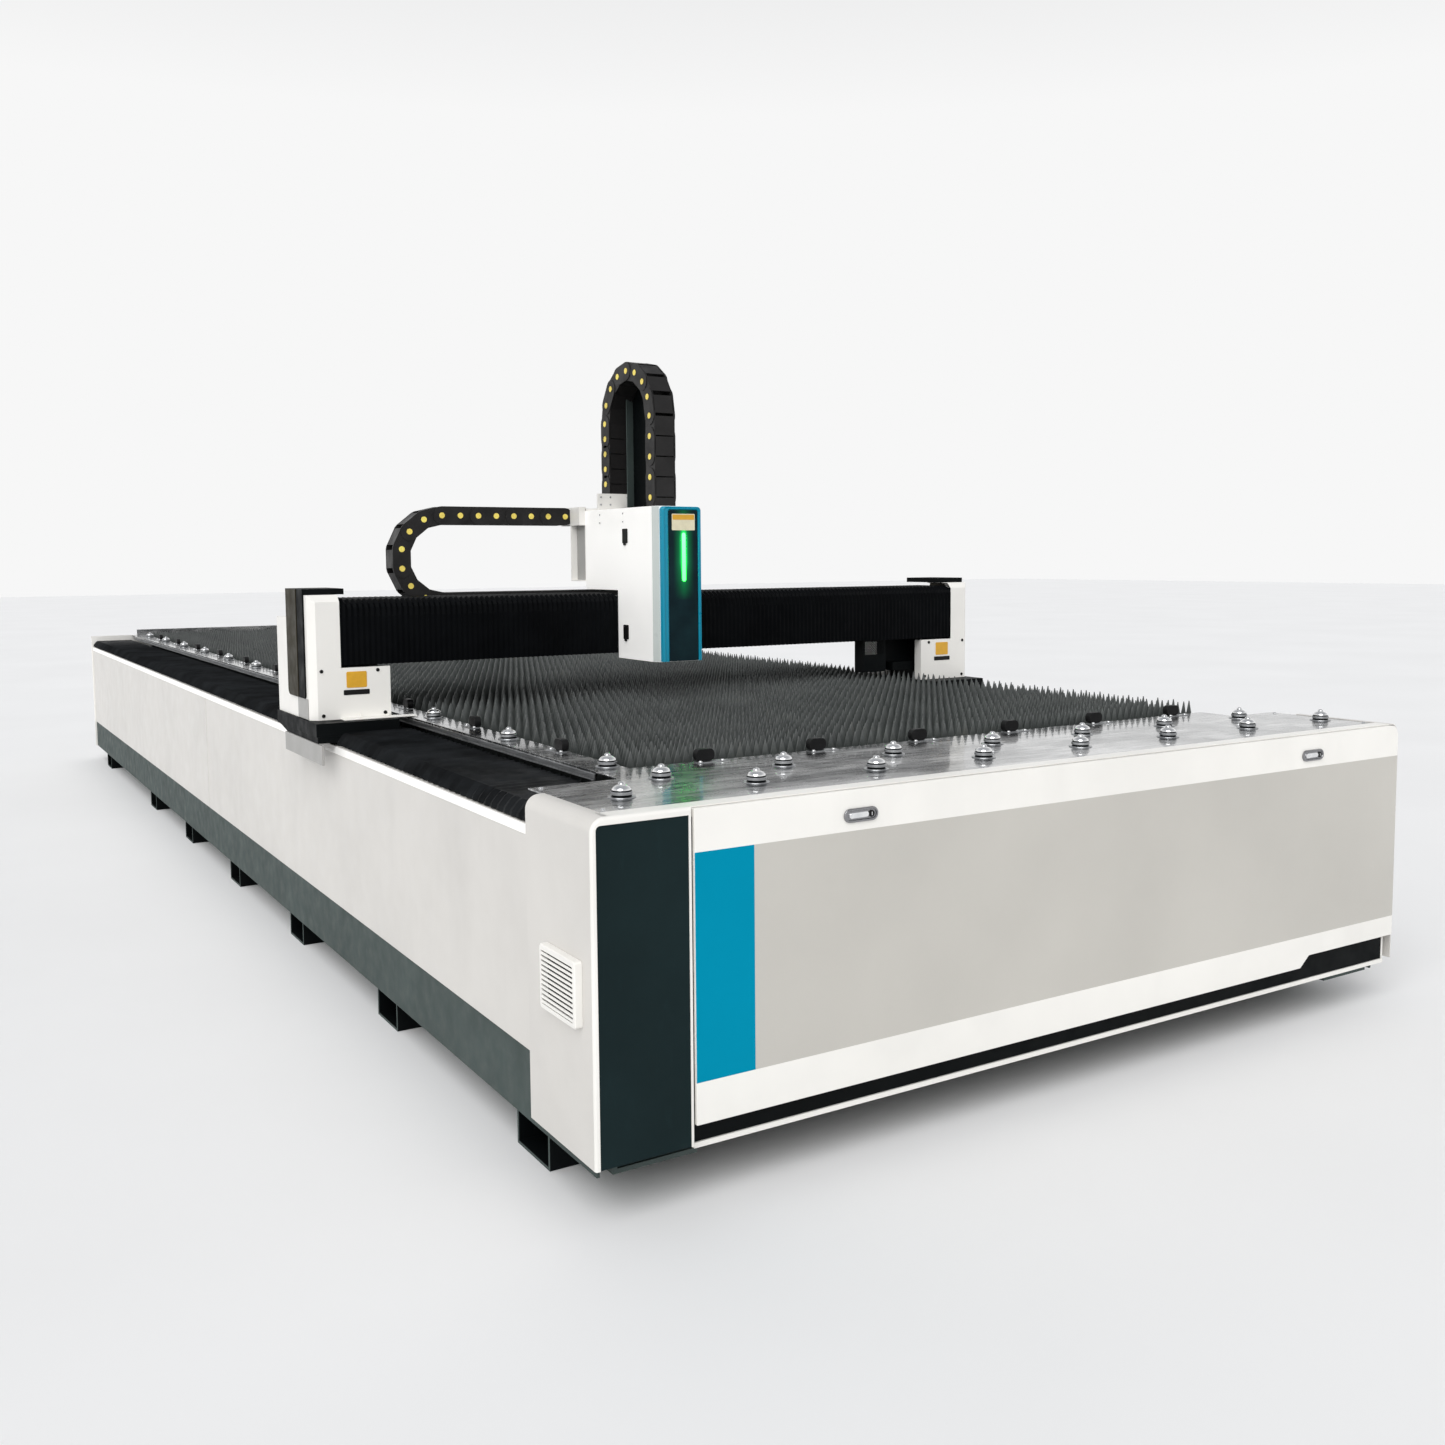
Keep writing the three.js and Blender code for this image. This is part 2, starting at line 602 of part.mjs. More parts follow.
// An upright outline that is square below and has two round corners above.
function roundTopped(x0, x1, z0, z1, r) {
  const s = new THREE.Shape();
  s.moveTo(x0, z0);
  s.lineTo(x1, z0);
  s.lineTo(x1, z1 - r);
  s.absarc(x1 - r, z1 - r, r, 0, Math.PI / 2, false);
  s.lineTo(x0 + r, z1);
  s.absarc(x0 + r, z1 - r, r, Math.PI / 2, Math.PI, false);
  s.closePath();
  return s;
}

// The blue frame on the front of the head, open at its bottom, and the dark window in it.
function headFront() {
  const back = HEAD_NOSE - TOUCH;
  const bottom = HEAD_BOTTOM + 2;
  const frame = roundTopped(TRIM_LEFT, TRIM_RIGHT, bottom, HEAD_TOP - 2, 14);
  const hole = roundTopped(PANE_LEFT, PANE_RIGHT, HEAD_BOTTOM - 5, PANE_TOP, 8);
  const pane = roundTopped(PANE_LEFT + TOUCH, PANE_RIGHT - TOUCH, bottom, PANE_TOP - TOUCH, 8);
  place("head_trim", cut(alongY(frame, back - 22, back), alongY(hole, back - 30, back + 5)), BLUE);
  place("head_window", alongY(pane, back - 16, back - 4), GLASS);
}

// The bent bracket behind the head that holds the end of each chain.
function chainBracket() {
  const back = HEAD_REAR + TOUCH;
  const side = HEAD_X - HEAD_HALF;
  const rear = X_CHAIN_FRONT;
  const low = X_CHAIN_UPPER - 37;
  const top = HEAD_TOP + TOUCH;
  const pieces = [
    box(side, HEAD_X + HEAD_HALF, back, back + 6, 1400, 1690),
    box(BRACKET_X, side + 4, back, X_CHAIN_REAR, low, X_CHAIN_UPPER + 37),
    box(side, side + 4, back, rear, 1400, low + 1),
    box(BRACKET_X, side + 4, rear - 4, rear, 1400, low + 1),
    box(BRACKET_X, side + 4, back, rear, 1396, 1400.5),
    box(-303, -158, 2323, back + 6, top, HEAD_TOP + 8),
    box(-303, -158, 2323, 2332, top, HEAD_TOP + 66),
  ];
  place("chain_bracket", join(...pieces), WHITE);
}

// The upright loop of chain above the head; its front leg goes down into the cover.
function zChain() {
  const half = LINK / 2;
  const rear = Z_CHAIN_MIDDLE + Z_CHAIN_RADIUS;
  const front = Z_CHAIN_MIDDLE - Z_CHAIN_RADIUS;
  const centre = Z_CHAIN_TOP - Z_CHAIN_RADIUS - half;
  const shape = new THREE.Shape();
  shape.moveTo(rear - half, HEAD_TOP + 10);
  shape.lineTo(rear + half, HEAD_TOP + 10);
  shape.absarc(Z_CHAIN_MIDDLE, centre, Z_CHAIN_RADIUS + half, 0, Math.PI, false);
  shape.lineTo(front - half, 1605);
  shape.lineTo(front + half, 1605);
  shape.absarc(Z_CHAIN_MIDDLE, centre, Z_CHAIN_RADIUS - half, Math.PI, 0, true);
  shape.closePath();
  const x = Z_CHAIN_X - Z_CHAIN_WIDTH / 2;
  place("z_chain", alongX(shape, x, x + Z_CHAIN_WIDTH), BLACK);
}

// The sliding plate of the lifting axis, and the cutting head that it carries.
function cuttingHead() {
  place("z_slide", box(HEAD_X - 65, HEAD_X + 65, 2090, 2124, 1260, 1500), ALUMINIUM);
  const y = 1993;
  const body = box(HEAD_X - 40, HEAD_X + 40, y - 40, 2090 - TOUCH, 1300, 1560);
  const profile = [
    [0, 1106],
    [3, 1106],
    [12, 1124],
    [22, 1128],
    [22, 1160],
    [34, 1175],
    [34, 1305],
    [0, 1305],
  ];
  const points = profile.map(([r, z]) => new THREE.Vector2(r, z));
  const nozzle = new THREE.LatheGeometry(points, 20).rotateX(Math.PI / 2);
  place("cutting_head", join(body, nozzle.translate(HEAD_X, y, 0)), CHROME);
}

FOOT_PLACES.forEach((y, i) => footTube(y, i + 1));
for (const side of SIDES) {
  bedFrame(side);
  sidePanel(side);
  frontCheek(side);
  yRail(side);
  sideBellows("bellows_front", side, 381, SLAB_FRONT - TOUCH);
  sideBellows("bellows_rear", side, GANTRY_REAR + TOUCH, REAR - 40);
  gantryFoot(side);
  gantryCover(side);
  gantryCap(side);
  motorCover(side);
  yMotor(side);
  yPinion(side);
}
frontTopFrame();
frontCornerPanel();
frontPlinth();
frontDoor();
frontLatch(LATCH_PLACES[0], "left");
frontLatch(LATCH_PLACES[1], "right");
rearPanel();
ventLeft();
sideStrip();
endPlateFront();
endPlateRear();
const TABLE_MIDDLE = (SLAT_FRONT + REAR - 155) / 2;
slatTable(1, SLAT_FRONT, TABLE_MIDDLE - 1);
slatTable(2, TABLE_MIDDLE + 1, REAR - 155);
gantryBeam();
xRail();
beamBellows("beam_bellows_left", STEM - COVER_OUT, HEAD_X - HEAD_HALF - 1);
beamBellows("beam_bellows_right", HEAD_X + HEAD_HALF + 1, COVER_OUT - STEM);
xChain();
carriagePlate();
headCover();
headFront();
chainBracket();
zChain();
cuttingHead();

export default machine;
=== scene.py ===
"""The looks of an open-bed sheet-cutting gantry machine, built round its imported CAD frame."""

import math
import random

import bmesh
import bpy
from mathutils import Matrix, Vector


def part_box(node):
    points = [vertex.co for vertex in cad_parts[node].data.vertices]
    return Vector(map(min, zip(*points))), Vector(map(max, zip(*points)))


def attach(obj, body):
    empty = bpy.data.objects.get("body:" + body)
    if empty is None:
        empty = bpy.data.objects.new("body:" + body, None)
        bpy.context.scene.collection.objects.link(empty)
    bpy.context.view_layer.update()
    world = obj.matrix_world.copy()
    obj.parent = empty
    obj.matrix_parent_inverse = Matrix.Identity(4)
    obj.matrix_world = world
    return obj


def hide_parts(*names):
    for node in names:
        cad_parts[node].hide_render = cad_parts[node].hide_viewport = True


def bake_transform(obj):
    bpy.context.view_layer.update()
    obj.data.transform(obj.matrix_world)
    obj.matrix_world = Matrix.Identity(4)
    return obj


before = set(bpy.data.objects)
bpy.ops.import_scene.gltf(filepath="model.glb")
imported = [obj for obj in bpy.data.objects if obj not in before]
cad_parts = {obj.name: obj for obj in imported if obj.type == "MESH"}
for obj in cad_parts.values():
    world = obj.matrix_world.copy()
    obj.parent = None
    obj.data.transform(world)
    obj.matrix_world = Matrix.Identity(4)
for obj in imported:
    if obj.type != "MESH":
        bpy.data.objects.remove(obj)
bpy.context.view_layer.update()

MM = 0.001
DOOR_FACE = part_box("front_door")[0].y
RANDOM_SEED = 7
SIDES = (-1, 1)
HANDS = ((-1, "left"), (1, "right"))

# Where the photographer stood, in metres and degrees.
CAMERA_PLACE = (-2.717, -6.9515, 1.4857)
CAMERA_YAW = 31.897
CAMERA_PITCH = 4.745
CAMERA_ROLL = 0.397
CAMERA_LENS = 33.844
CAMERA_SHIFT = (-0.01098, -0.03583)

# Bed, in millimetres; y is measured back from the face of the front door.
PLATE_TOP = 928
TIP_HEIGHT = 968
VALLEY_HEIGHT = 910
SLAT_BOTTOM = 840
SLAT_PITCH = 70
SLAT_LEFT = -1058
SLAT_RIGHT = 1212
TOOTH_PITCH = 29
TABLE_ENDS = ((604, 4570.5), (4572.5, 8539))
BELLOWS_TOP = 895
BELLOWS_BOTTOM = 853.5
BELLOWS_SPAN = (381, 8654)
BELLOWS_INNER = {-1: 1174, 1: 1219}
SIDE_PLEAT = 44
STRIP_SPAN = (601, 8543)
BALL_ROWS = ((8, -1285, 376, 216), (7, -1074, 375, 408))
BEAM_PLEAT = 20

# Front door.
DOOR_LEFT = -1213
DOOR_RIGHT = 1450
DOOR_TOP = 926
DOOR_BOTTOM = 192
BAND_TOP = 826
BAND_BOTTOM = 292
FIELD_SPLIT = -1054
LATCH_PLACES = (-748, 1002)
LATCH_HEIGHT = 864

# Front cabinet and gantry.
CHEEK = 1468
CHEEK_BOTTOM = 143
CHEEK_TOP = 930
CORNER_ROUND = 35
VENT = (58, 248, 452, 604)
BLADES = 11
BLADE_PITCH = 11.4
FOOT_INNER = 1218
FOOT_HALF = 100
FOOT_PLACES = (450, 1620, 2770, 3895, 5040, 6190, 8140)
SLAB_TOP = 930
GANTRY_ENDS = (2062, 2610)
CAP_ENDS = (2207, 2432)
CAP_FOLD = 2290
CAP_BOTTOM = 1005
CAP_TOP = 1388
GANTRY_OUT = 1508
COVER_FACE = 2153

# Head and chains.
HEAD_X = -207
HEAD_HALF = 100
TRIM = (-290, -124)
PANE = (-262, -136)
PANE_TOP = 1665
LAMP_X = -197
HEAD_NOSE = 1838
HEAD_FRONT = 1866
HEAD_TOP = 1680
HEAD_BOTTOM = 1100
LINK = 72
X_CHAIN = (2520, 2610)
X_CHAIN_RADIUS = 168
X_CHAIN_UPPER = 1659
X_BEND = -880
X_BRACKET = -334
Z_CHAIN_X = -197
Z_CHAIN_MIDDLE = 2183
Z_CHAIN_RADIUS = 189
Z_CHAIN_TOP = 2251


# Materials.


class Surface:
    """One procedural material: a Principled shader and the nodes that feed it."""

    def __init__(self, name):
        self.material = bpy.data.materials.new(name)
        self.material.use_nodes = True
        self.tree = self.material.node_tree
        self.shader = self.tree.nodes["Principled BSDF"]
        self.place = self.tree.nodes.new("ShaderNodeTexCoord").outputs["Object"]

    def set(self, **values):
        for name, value in values.items():
            self.shader.inputs[name.replace("_", " ")].default_value = value
        return self

    def feed(self, socket, value):
        """Links a socket to another node's output, or sets the constant it holds."""
        if isinstance(value, bpy.types.NodeSocket):
            self.tree.links.new(value, socket)
        else:
            socket.default_value = value

    def node(self, kind, **inputs):
        made = self.tree.nodes.new("ShaderNode" + kind)
        for name, value in inputs.items():
            self.feed(made.inputs[name.replace("_", " ")], value)
        return made

    def link(self, source, name):
        self.tree.links.new(source, self.shader.inputs[name])
        return self

    def stretched(self, stretch):
        return self.node("Mapping", Vector=self.place, Scale=stretch).outputs["Vector"]

    def noise(self, scale, detail=4.0, stretch=(1, 1, 1)):
        made = self.node("TexNoise", Vector=self.stretched(stretch), Scale=scale, Detail=detail)
        return made.outputs["Fac"]

    def ramp(self, source, *stops):
        made = self.node("ValToRGB", Fac=source)
        marks = made.color_ramp.elements
        for mark, (position, colour) in zip(marks, (stops[0], stops[-1])):
            mark.position = position
            mark.color = (*colour, 1)
        for position, colour in stops[1:-1]:
            marks.new(position).color = (*colour, 1)
        return made.outputs["Color"]

    def spread(self, source, low, high, start=0.3, end=0.7):
        limits = {"From_Min": start, "From_Max": end, "To_Min": low, "To_Max": high}
        return self.node("MapRange", Value=source, **limits).outputs["Result"]

    def math(self, operation, first, second):
        made = self.tree.nodes.new("ShaderNodeMath")
        made.operation = operation
        for socket, value in zip(made.inputs, (first, second)):
            self.feed(socket, value)
        return made.outputs["Value"]

    def blend(self, mask, first, second):
        made = self.tree.nodes.new("ShaderNodeMix")
        made.data_type = "RGBA"
        sockets = [s for s in made.inputs if s.type == "RGBA"]
        self.tree.links.new(mask, made.inputs["Factor"])
        for socket, value in zip(sockets, (first, second)):
            self.feed(socket, (*value, 1) if isinstance(value, tuple) else value)
        return next(s for s in made.outputs if s.type == "RGBA")

    def done(self, **values):
        """Sets the shader's constants and gives the finished material."""
        return self.set(**values).material

    def skin(self, colour, roughness):
        """Links the colour and the roughness that vary over the surface."""
        self.link(colour, "Base Color")
        self.link(roughness, "Roughness")

    def height(self):
        return self.node("SeparateXYZ", Vector=self.place).outputs["Z"]

    def bump(self, source, strength, distance=0.001):
        made = self.node("Bump", Height=source, Strength=strength, Distance=distance)
        return self.link(made.outputs["Normal"], "Normal")


def linear(red, green, blue):
    """A colour given as it shows on a screen, from 0 to 255, as the shader takes it."""
    return tuple(((c / 255 + 0.055) / 1.055) ** 2.4 if c > 10 else c / 3294 for c in (red, green, blue))


def shade(colour, factor):
    return tuple(min(1.0, c * factor) for c in colour)


def paint(name, colour, roughness=0.36, grime=0.88, coat=0.1, shine=0.5, painted_glow=0.0):
    """Powder coat: an orange-peel skin, cloudy gloss, faint smudges, floor dust near the bottom and an
    optional painted glow.
    """
    s = Surface(name)
    cloud = s.noise(2.4, 7.0)
    base = s.ramp(cloud, (0.34, shade(colour, 0.955)), (0.5, colour), (0.68, shade(colour, 1.03)))
    streak = s.noise(5.0, 5.0, (1, 1, 0.16))
    smudge = s.spread(streak, 0.0, 0.35, 0.56, 0.78)
    base = s.blend(smudge, base, shade(colour, grime))
    low = s.spread(s.height(), 0.5, 0.0, 0.10, 0.34)
    dust = s.math("MULTIPLY", low, s.noise(9.0, 6.0))
    base = s.blend(dust, base, shade(colour, grime * 0.88))
    s.skin(base, s.spread(s.noise(11.0, 5.0), roughness - 0.06, roughness + 0.12))
    s.bump(s.noise(420.0, 2.0), 0.10, 0.0006)
    s.set(Coat_Weight=coat, Coat_Roughness=0.18, Specular_IOR_Level=shine)
    # The glow is painted light: the paint gives off a faint white light of its own in place of fill
    # light.
    return s.done(Emission_Color=(1.0, 0.99, 0.97, 1.0), Emission_Strength=painted_glow)


def dark_paint(name, colour, roughness=0.45, shine=0.16):
    """Dark enamel with lighter rubbed patches and fine dust."""
    s = Surface(name)
    patches = s.noise(4.2, 8.0)
    base = s.ramp(patches, (0.32, shade(colour, 0.88)), (0.52, colour), (0.74, shade(colour, 1.16)))
    scuff = s.spread(s.noise(38.0, 8.0, (1, 1, 0.3)), 0.0, 0.3, 0.62, 0.8)
    base = s.blend(scuff, base, shade(colour, 1.7))
    s.skin(base, s.spread(s.noise(16.0, 6.0), roughness - 0.1, roughness + 0.15))
    s.bump(s.noise(300.0, 3.0), 0.14, 0.0006)
    return s.done(Specular_IOR_Level=shine)


def metallic_paint(name, colour):
    """Silver-grey lacquer with fine flake under a thin clear coat."""
    s = Surface(name)
    flake = s.noise(1400.0, 2.0)
    cloud = s.noise(1.6, 6.0)
    base = s.ramp(cloud, (0.35, shade(colour, 0.95)), (0.66, shade(colour, 1.04)))
    base = s.blend(s.spread(flake, 0.0, 0.35, 0.5, 0.75), base, shade(colour, 1.18))
    s.skin(base, s.spread(s.noise(7.0, 5.0), 0.32, 0.46))
    s.bump(flake, 0.06, 0.0004)
    return s.done(Metallic=0.12, Coat_Weight=0.2, Coat_Roughness=0.15)


def bright_plate():
    """Rolled bright sheet: long wavy reflections painted into the base colour over a matching bump,
    brushed streaks, scratches and finger marks.
    """
    s = Surface("bright_plate")
    streak = s.noise(26.0, 8.0, (0.3, 1.6, 1.0))
    waves = s.noise(3.6, 4.0, (0.8, 1.8, 1.0))
    marks = s.noise(14.0, 9.0)
    painted_reflection_and_streaks = s.math("ADD", s.math("MULTIPLY", waves, 0.55), s.math("MULTIPLY", streak, 0.45))
    # The base colour swings from dark to bright with the waves: painted reflections, with the brushed
    # streaks mixed in.
    dull, middle, bright = (0.10, 0.105, 0.11), (0.33, 0.335, 0.34), (0.66, 0.66, 0.66)
    base = s.ramp(painted_reflection_and_streaks, (0.38, dull), (0.5, middle), (0.62, bright))
    s.link(base, "Base Color")
    rough = s.math("ADD", s.spread(streak, 0.22, 0.30), s.spread(marks, 0.0, 0.12, 0.5, 0.75))
    s.link(rough, "Roughness")
    height = s.math("ADD", s.math("MULTIPLY", waves, 1.0), s.math("MULTIPLY", streak, 0.04))
    s.bump(height, 0.42, 0.007)
    return s.done(Metallic=1.0, Coat_Weight=0.6, Coat_Roughness=0.05)


def slat_steel():
    """Laser-cut mild steel slats: mill scale, heat tint, dross, tips made lighter as burnt wear and
    painted highlight, and painted shade low down between them.
    """
    s = Surface("slat_steel")
    scale = s.noise(9.0, 9.0, (1.0, 0.4, 1.0))
    speck = s.noise(160.0, 6.0)
    base = s.ramp(
        scale,
        (0.3, (0.044, 0.050, 0.048)),
        (0.5, (0.064, 0.072, 0.069)),
        (0.66, (0.088, 0.097, 0.092)),
        (0.8, (0.110, 0.108, 0.096)),
    )
    # The tips turn lighter, partly burnt wear and partly a painted highlight on the top edges.
    tip = s.spread(s.height(), 0.0, 0.55, 0.925, 0.966)
    base = s.blend(s.math("MULTIPLY", tip, s.noise(60.0, 3.0)), base, (0.34, 0.35, 0.35))
    # Low down between the slats the steel goes near black: painted shade.
    deep = s.spread(s.height(), 0.6, 0.0, 0.84, 0.91)
    base = s.blend(deep, base, (0.024, 0.026, 0.026))
    s.skin(base, s.spread(speck, 0.42, 0.72))
    s.bump(speck, 0.35, 0.001)
    return s.done(Metallic=0.25)


def brushed_steel(name, colour, roughness, stretch=(1.0, 0.02, 1.0)):
    """Machined or drawn steel with grain, dull oil patches and small nicks."""
    s = Surface(name)
    grain = s.noise(700.0, 4.0, stretch)
    oil = s.noise(14.0, 6.0)
    base = s.ramp(grain, (0.3, shade(colour, 0.8)), (0.7, shade(colour, 1.12)))
    base = s.blend(s.spread(oil, 0.0, 0.5, 0.55, 0.75), base, shade(colour, 0.55))
    s.skin(base, s.spread(grain, roughness - 0.07, roughness + 0.1))
    s.bump(grain, 0.12, 0.0005)
    return s.done(Metallic=1.0)


def chrome():
    """Plated steel with a trace of smudge in the gloss."""
    s = Surface("chrome")
    smear = s.noise(45.0, 6.0)
    base = s.ramp(smear, (0.3, (0.74, 0.75, 0.76)), (0.7, (0.93, 0.93, 0.93)))
    s.skin(base, s.spread(smear, 0.05, 0.22, 0.35, 0.8))
    s.bump(s.noise(260.0, 3.0), 0.04, 0.0004)
    return s.done(Metallic=1.0)


def bellows_cloth(name, crest, valley):
    """Coated fabric: a fine weave under a dull rubber skin, dusty on the crests."""
    s = Surface(name)
    weave = s.node("TexChecker", Vector=s.place, Scale=900.0).outputs["Fac"]
    cloud = s.noise(7.0, 7.0)
    base = s.ramp(cloud, (0.35, valley), (0.65, crest))
    dust = s.spread(s.noise(30.0, 7.0), 0.0, 0.4, 0.55, 0.8)
    base = s.blend(dust, base, shade(crest, 1.5))
    s.skin(base, s.spread(s.noise(20.0, 5.0), 0.42, 0.62))
    s.bump(s.math("ADD", s.math("MULTIPLY", weave, 0.3), s.noise(240.0, 3.0)), 0.2, 0.0005)
    return s.done(Specular_IOR_Level=0.04)


def moulded_plastic(name, colour, roughness=0.42):
    """Injection-moulded plastic with a spark-eroded grain and rubbed shine."""
    s = Surface(name)
    rub = s.noise(18.0, 7.0)
    base = s.ramp(rub, (0.3, shade(colour, 0.8)), (0.55, colour), (0.8, shade(colour, 1.3)))
    s.skin(base, s.spread(rub, roughness + 0.12, roughness - 0.1))
    s.bump(s.noise(520.0, 3.0), 0.22, 0.0005)
    return s.done(Specular_IOR_Level=0.2)


def window_glass():
    """Dark tinted pane with a painted green glow round the lamp behind it."""
    s = Surface("window_glass")
    parts = s.node("SeparateXYZ", Vector=s.place)
    across = s.math("ABSOLUTE", s.math("SUBTRACT", parts.outputs["X"], LAMP_X * MM), 0.0)
    halo = s.spread(across, 1.0, 0.0, 0.004, 0.048)
    halo = s.math("POWER", halo, 1.8)
    foot = s.spread(parts.outputs["Z"], 0.0, 1.0, 1.33, 1.47)
    head = s.spread(parts.outputs["Z"], 1.0, 0.25, 1.56, 1.66)
    painted_glow = s.math("MULTIPLY", s.math("MULTIPLY", halo, foot), head)
    haze = s.noise(12.0, 5.0)
    tint = s.ramp(haze, (0.3, (0.002, 0.010, 0.013)), (0.7, (0.005, 0.022, 0.026)))
    s.link(tint, "Base Color")
    # The green halo round the lamp is painted light that the pane gives off itself.
    dark, dim, full = (0.0, 0.0006, 0.0012), (0.0, 0.06, 0.014), (0.01, 0.5, 0.08)
    lit = s.ramp(painted_glow, (0.0, dark), (0.45, dim), (1.0, full))
    s.link(lit, "Emission Color")
    s.link(s.spread(haze, 0.04, 0.12), "Roughness")
    s.bump(haze, 0.03, 0.001)
    return s.done(Emission_Strength=2.4, Specular_IOR_Level=0.08)


def lamp_light():
    """The lit diffuser of the status lamp."""
    s = Surface("lamp_light")
    fade = s.spread(s.height(), 0.8, 1.0, 1.40, 1.58)
    colour = s.ramp(fade, (0.75, (0.022, 1.0, 0.040)), (1.0, (0.034, 1.0, 0.056)))
    s.link(colour, "Emission Color")
    s.link(colour, "Base Color")
    return s.done(Emission_Strength=13.0, Roughness=0.4)


def blank_label(name, colour):
    """A plain printed film with nothing on it, slightly yellowed and scuffed."""
    s = Surface(name)
    age = s.noise(60.0, 5.0)
    s.skin(s.ramp(age, (0.3, shade(colour, 0.88)), (0.7, colour)), s.spread(age, 0.28, 0.5))
    s.bump(s.noise(600.0, 2.0), 0.05, 0.0003)
    return s.done()


WHITE = paint("white_paint", linear(238, 236, 231))
# The side white is the white paint made darker: painted shade for the faces turned sideways.
SHADED_SIDE_WHITE = paint("side_white_painted_shade", linear(212, 209, 204))
# The head's white is brighter and glows faintly: painted light on the head cover's shaded sides.
HEAD_WHITE_PAINTED_GLOW = paint("head_white_painted_glow", linear(248, 247, 244), painted_glow=0.2)
# The rim white is brighter and glows faintly: a painted highlight on the top rims.
LIT_RIM_WHITE = paint("rim_white_painted_highlight", linear(246, 245, 242), painted_glow=0.12)
SILVER = metallic_paint("door_silver", linear(192, 189, 182))
TEAL = paint("door_teal", linear(0, 136, 168), 0.5, 0.9, 0.0, 0.02)
DEEP = dark_paint("corner_panel_paint", linear(20, 35, 37), 0.4, 0.08)
FRAME_GREY = dark_paint("frame_paint", linear(70, 80, 78), 0.6, 0.15)
BLACK = dark_paint("black_paint", linear(10, 13, 14), 0.5, 0.06)
OLIVE = dark_paint("cap_paint", linear(50, 46, 34), 0.45, 0.08)
# Guard grey is the grey of the foot guards, and also painted shade on the bracket's web and below the
# side caps.
GUARD_GREY_AND_PAINTED_SHADE = paint("guard_grey_and_painted_shade", linear(158, 157, 154), 0.42)
# The facet grey is the head's white made darker: painted shade on the nose's corner facets.
SHADED_FACET_GREY = paint("facet_painted_shade", linear(198, 205, 202), 0.3)
PLATE = bright_plate()
SLAT = slat_steel()
STEEL = brushed_steel("machined_steel", (0.44, 0.45, 0.46), 0.34)
DISH = brushed_steel("latch_steel", (0.30, 0.30, 0.31), 0.26)
CHROME = chrome()
SIDE_CLOTH = bellows_cloth("side_bellows_cloth", (0.013, 0.0145, 0.016), (0.004, 0.0045, 0.005))
BEAM_CLOTH = bellows_cloth("beam_bellows_cloth", (0.0022, 0.0027, 0.0034), (0.001, 0.0013, 0.0018))
CHAIN = moulded_plastic("chain_plastic", linear(34, 33, 33))
PIN = moulded_plastic("pin_plastic", linear(250, 226, 112), 0.35)
RUBBER = moulded_plastic("black_moulding", linear(18, 18, 19), 0.5)
BEAD = paint("trim_teal", linear(6, 142, 172), 0.3, 0.85, 0.1, 0.25)
GLASS = window_glass()
LAMP = lamp_light()
AMBER = blank_label("amber_film", linear(226, 170, 40))
CREAM = blank_label("cream_film", linear(236, 228, 196))


# Shapes.


def arc(x, y, radius, start, end, steps=6):
    """Points on a circle from one angle to another, in degrees."""
    angles = [math.radians(start + (end - start) * i / steps) for i in range(steps + 1)]
    return [(x + radius * math.cos(a), y + radius * math.sin(a)) for a in angles]


def rounded(x0, x1, y0, y1, radius, steps=6):
    """The outline of a rectangle with round corners."""
    return (
        arc(x1 - radius, y0 + radius, radius, -90, 0, steps)
        + arc(x1 - radius, y1 - radius, radius, 0, 90, steps)
        + arc(x0 + radius, y1 - radius, radius, 90, 180, steps)
        + arc(x0 + radius, y0 + radius, radius, 180, 270, steps)
    )


def added(name, data):
    """A new object in the scene, round its mesh, lamp or camera."""
    made = bpy.data.objects.new(name, data)
    bpy.context.scene.collection.objects.link(made)
    return made


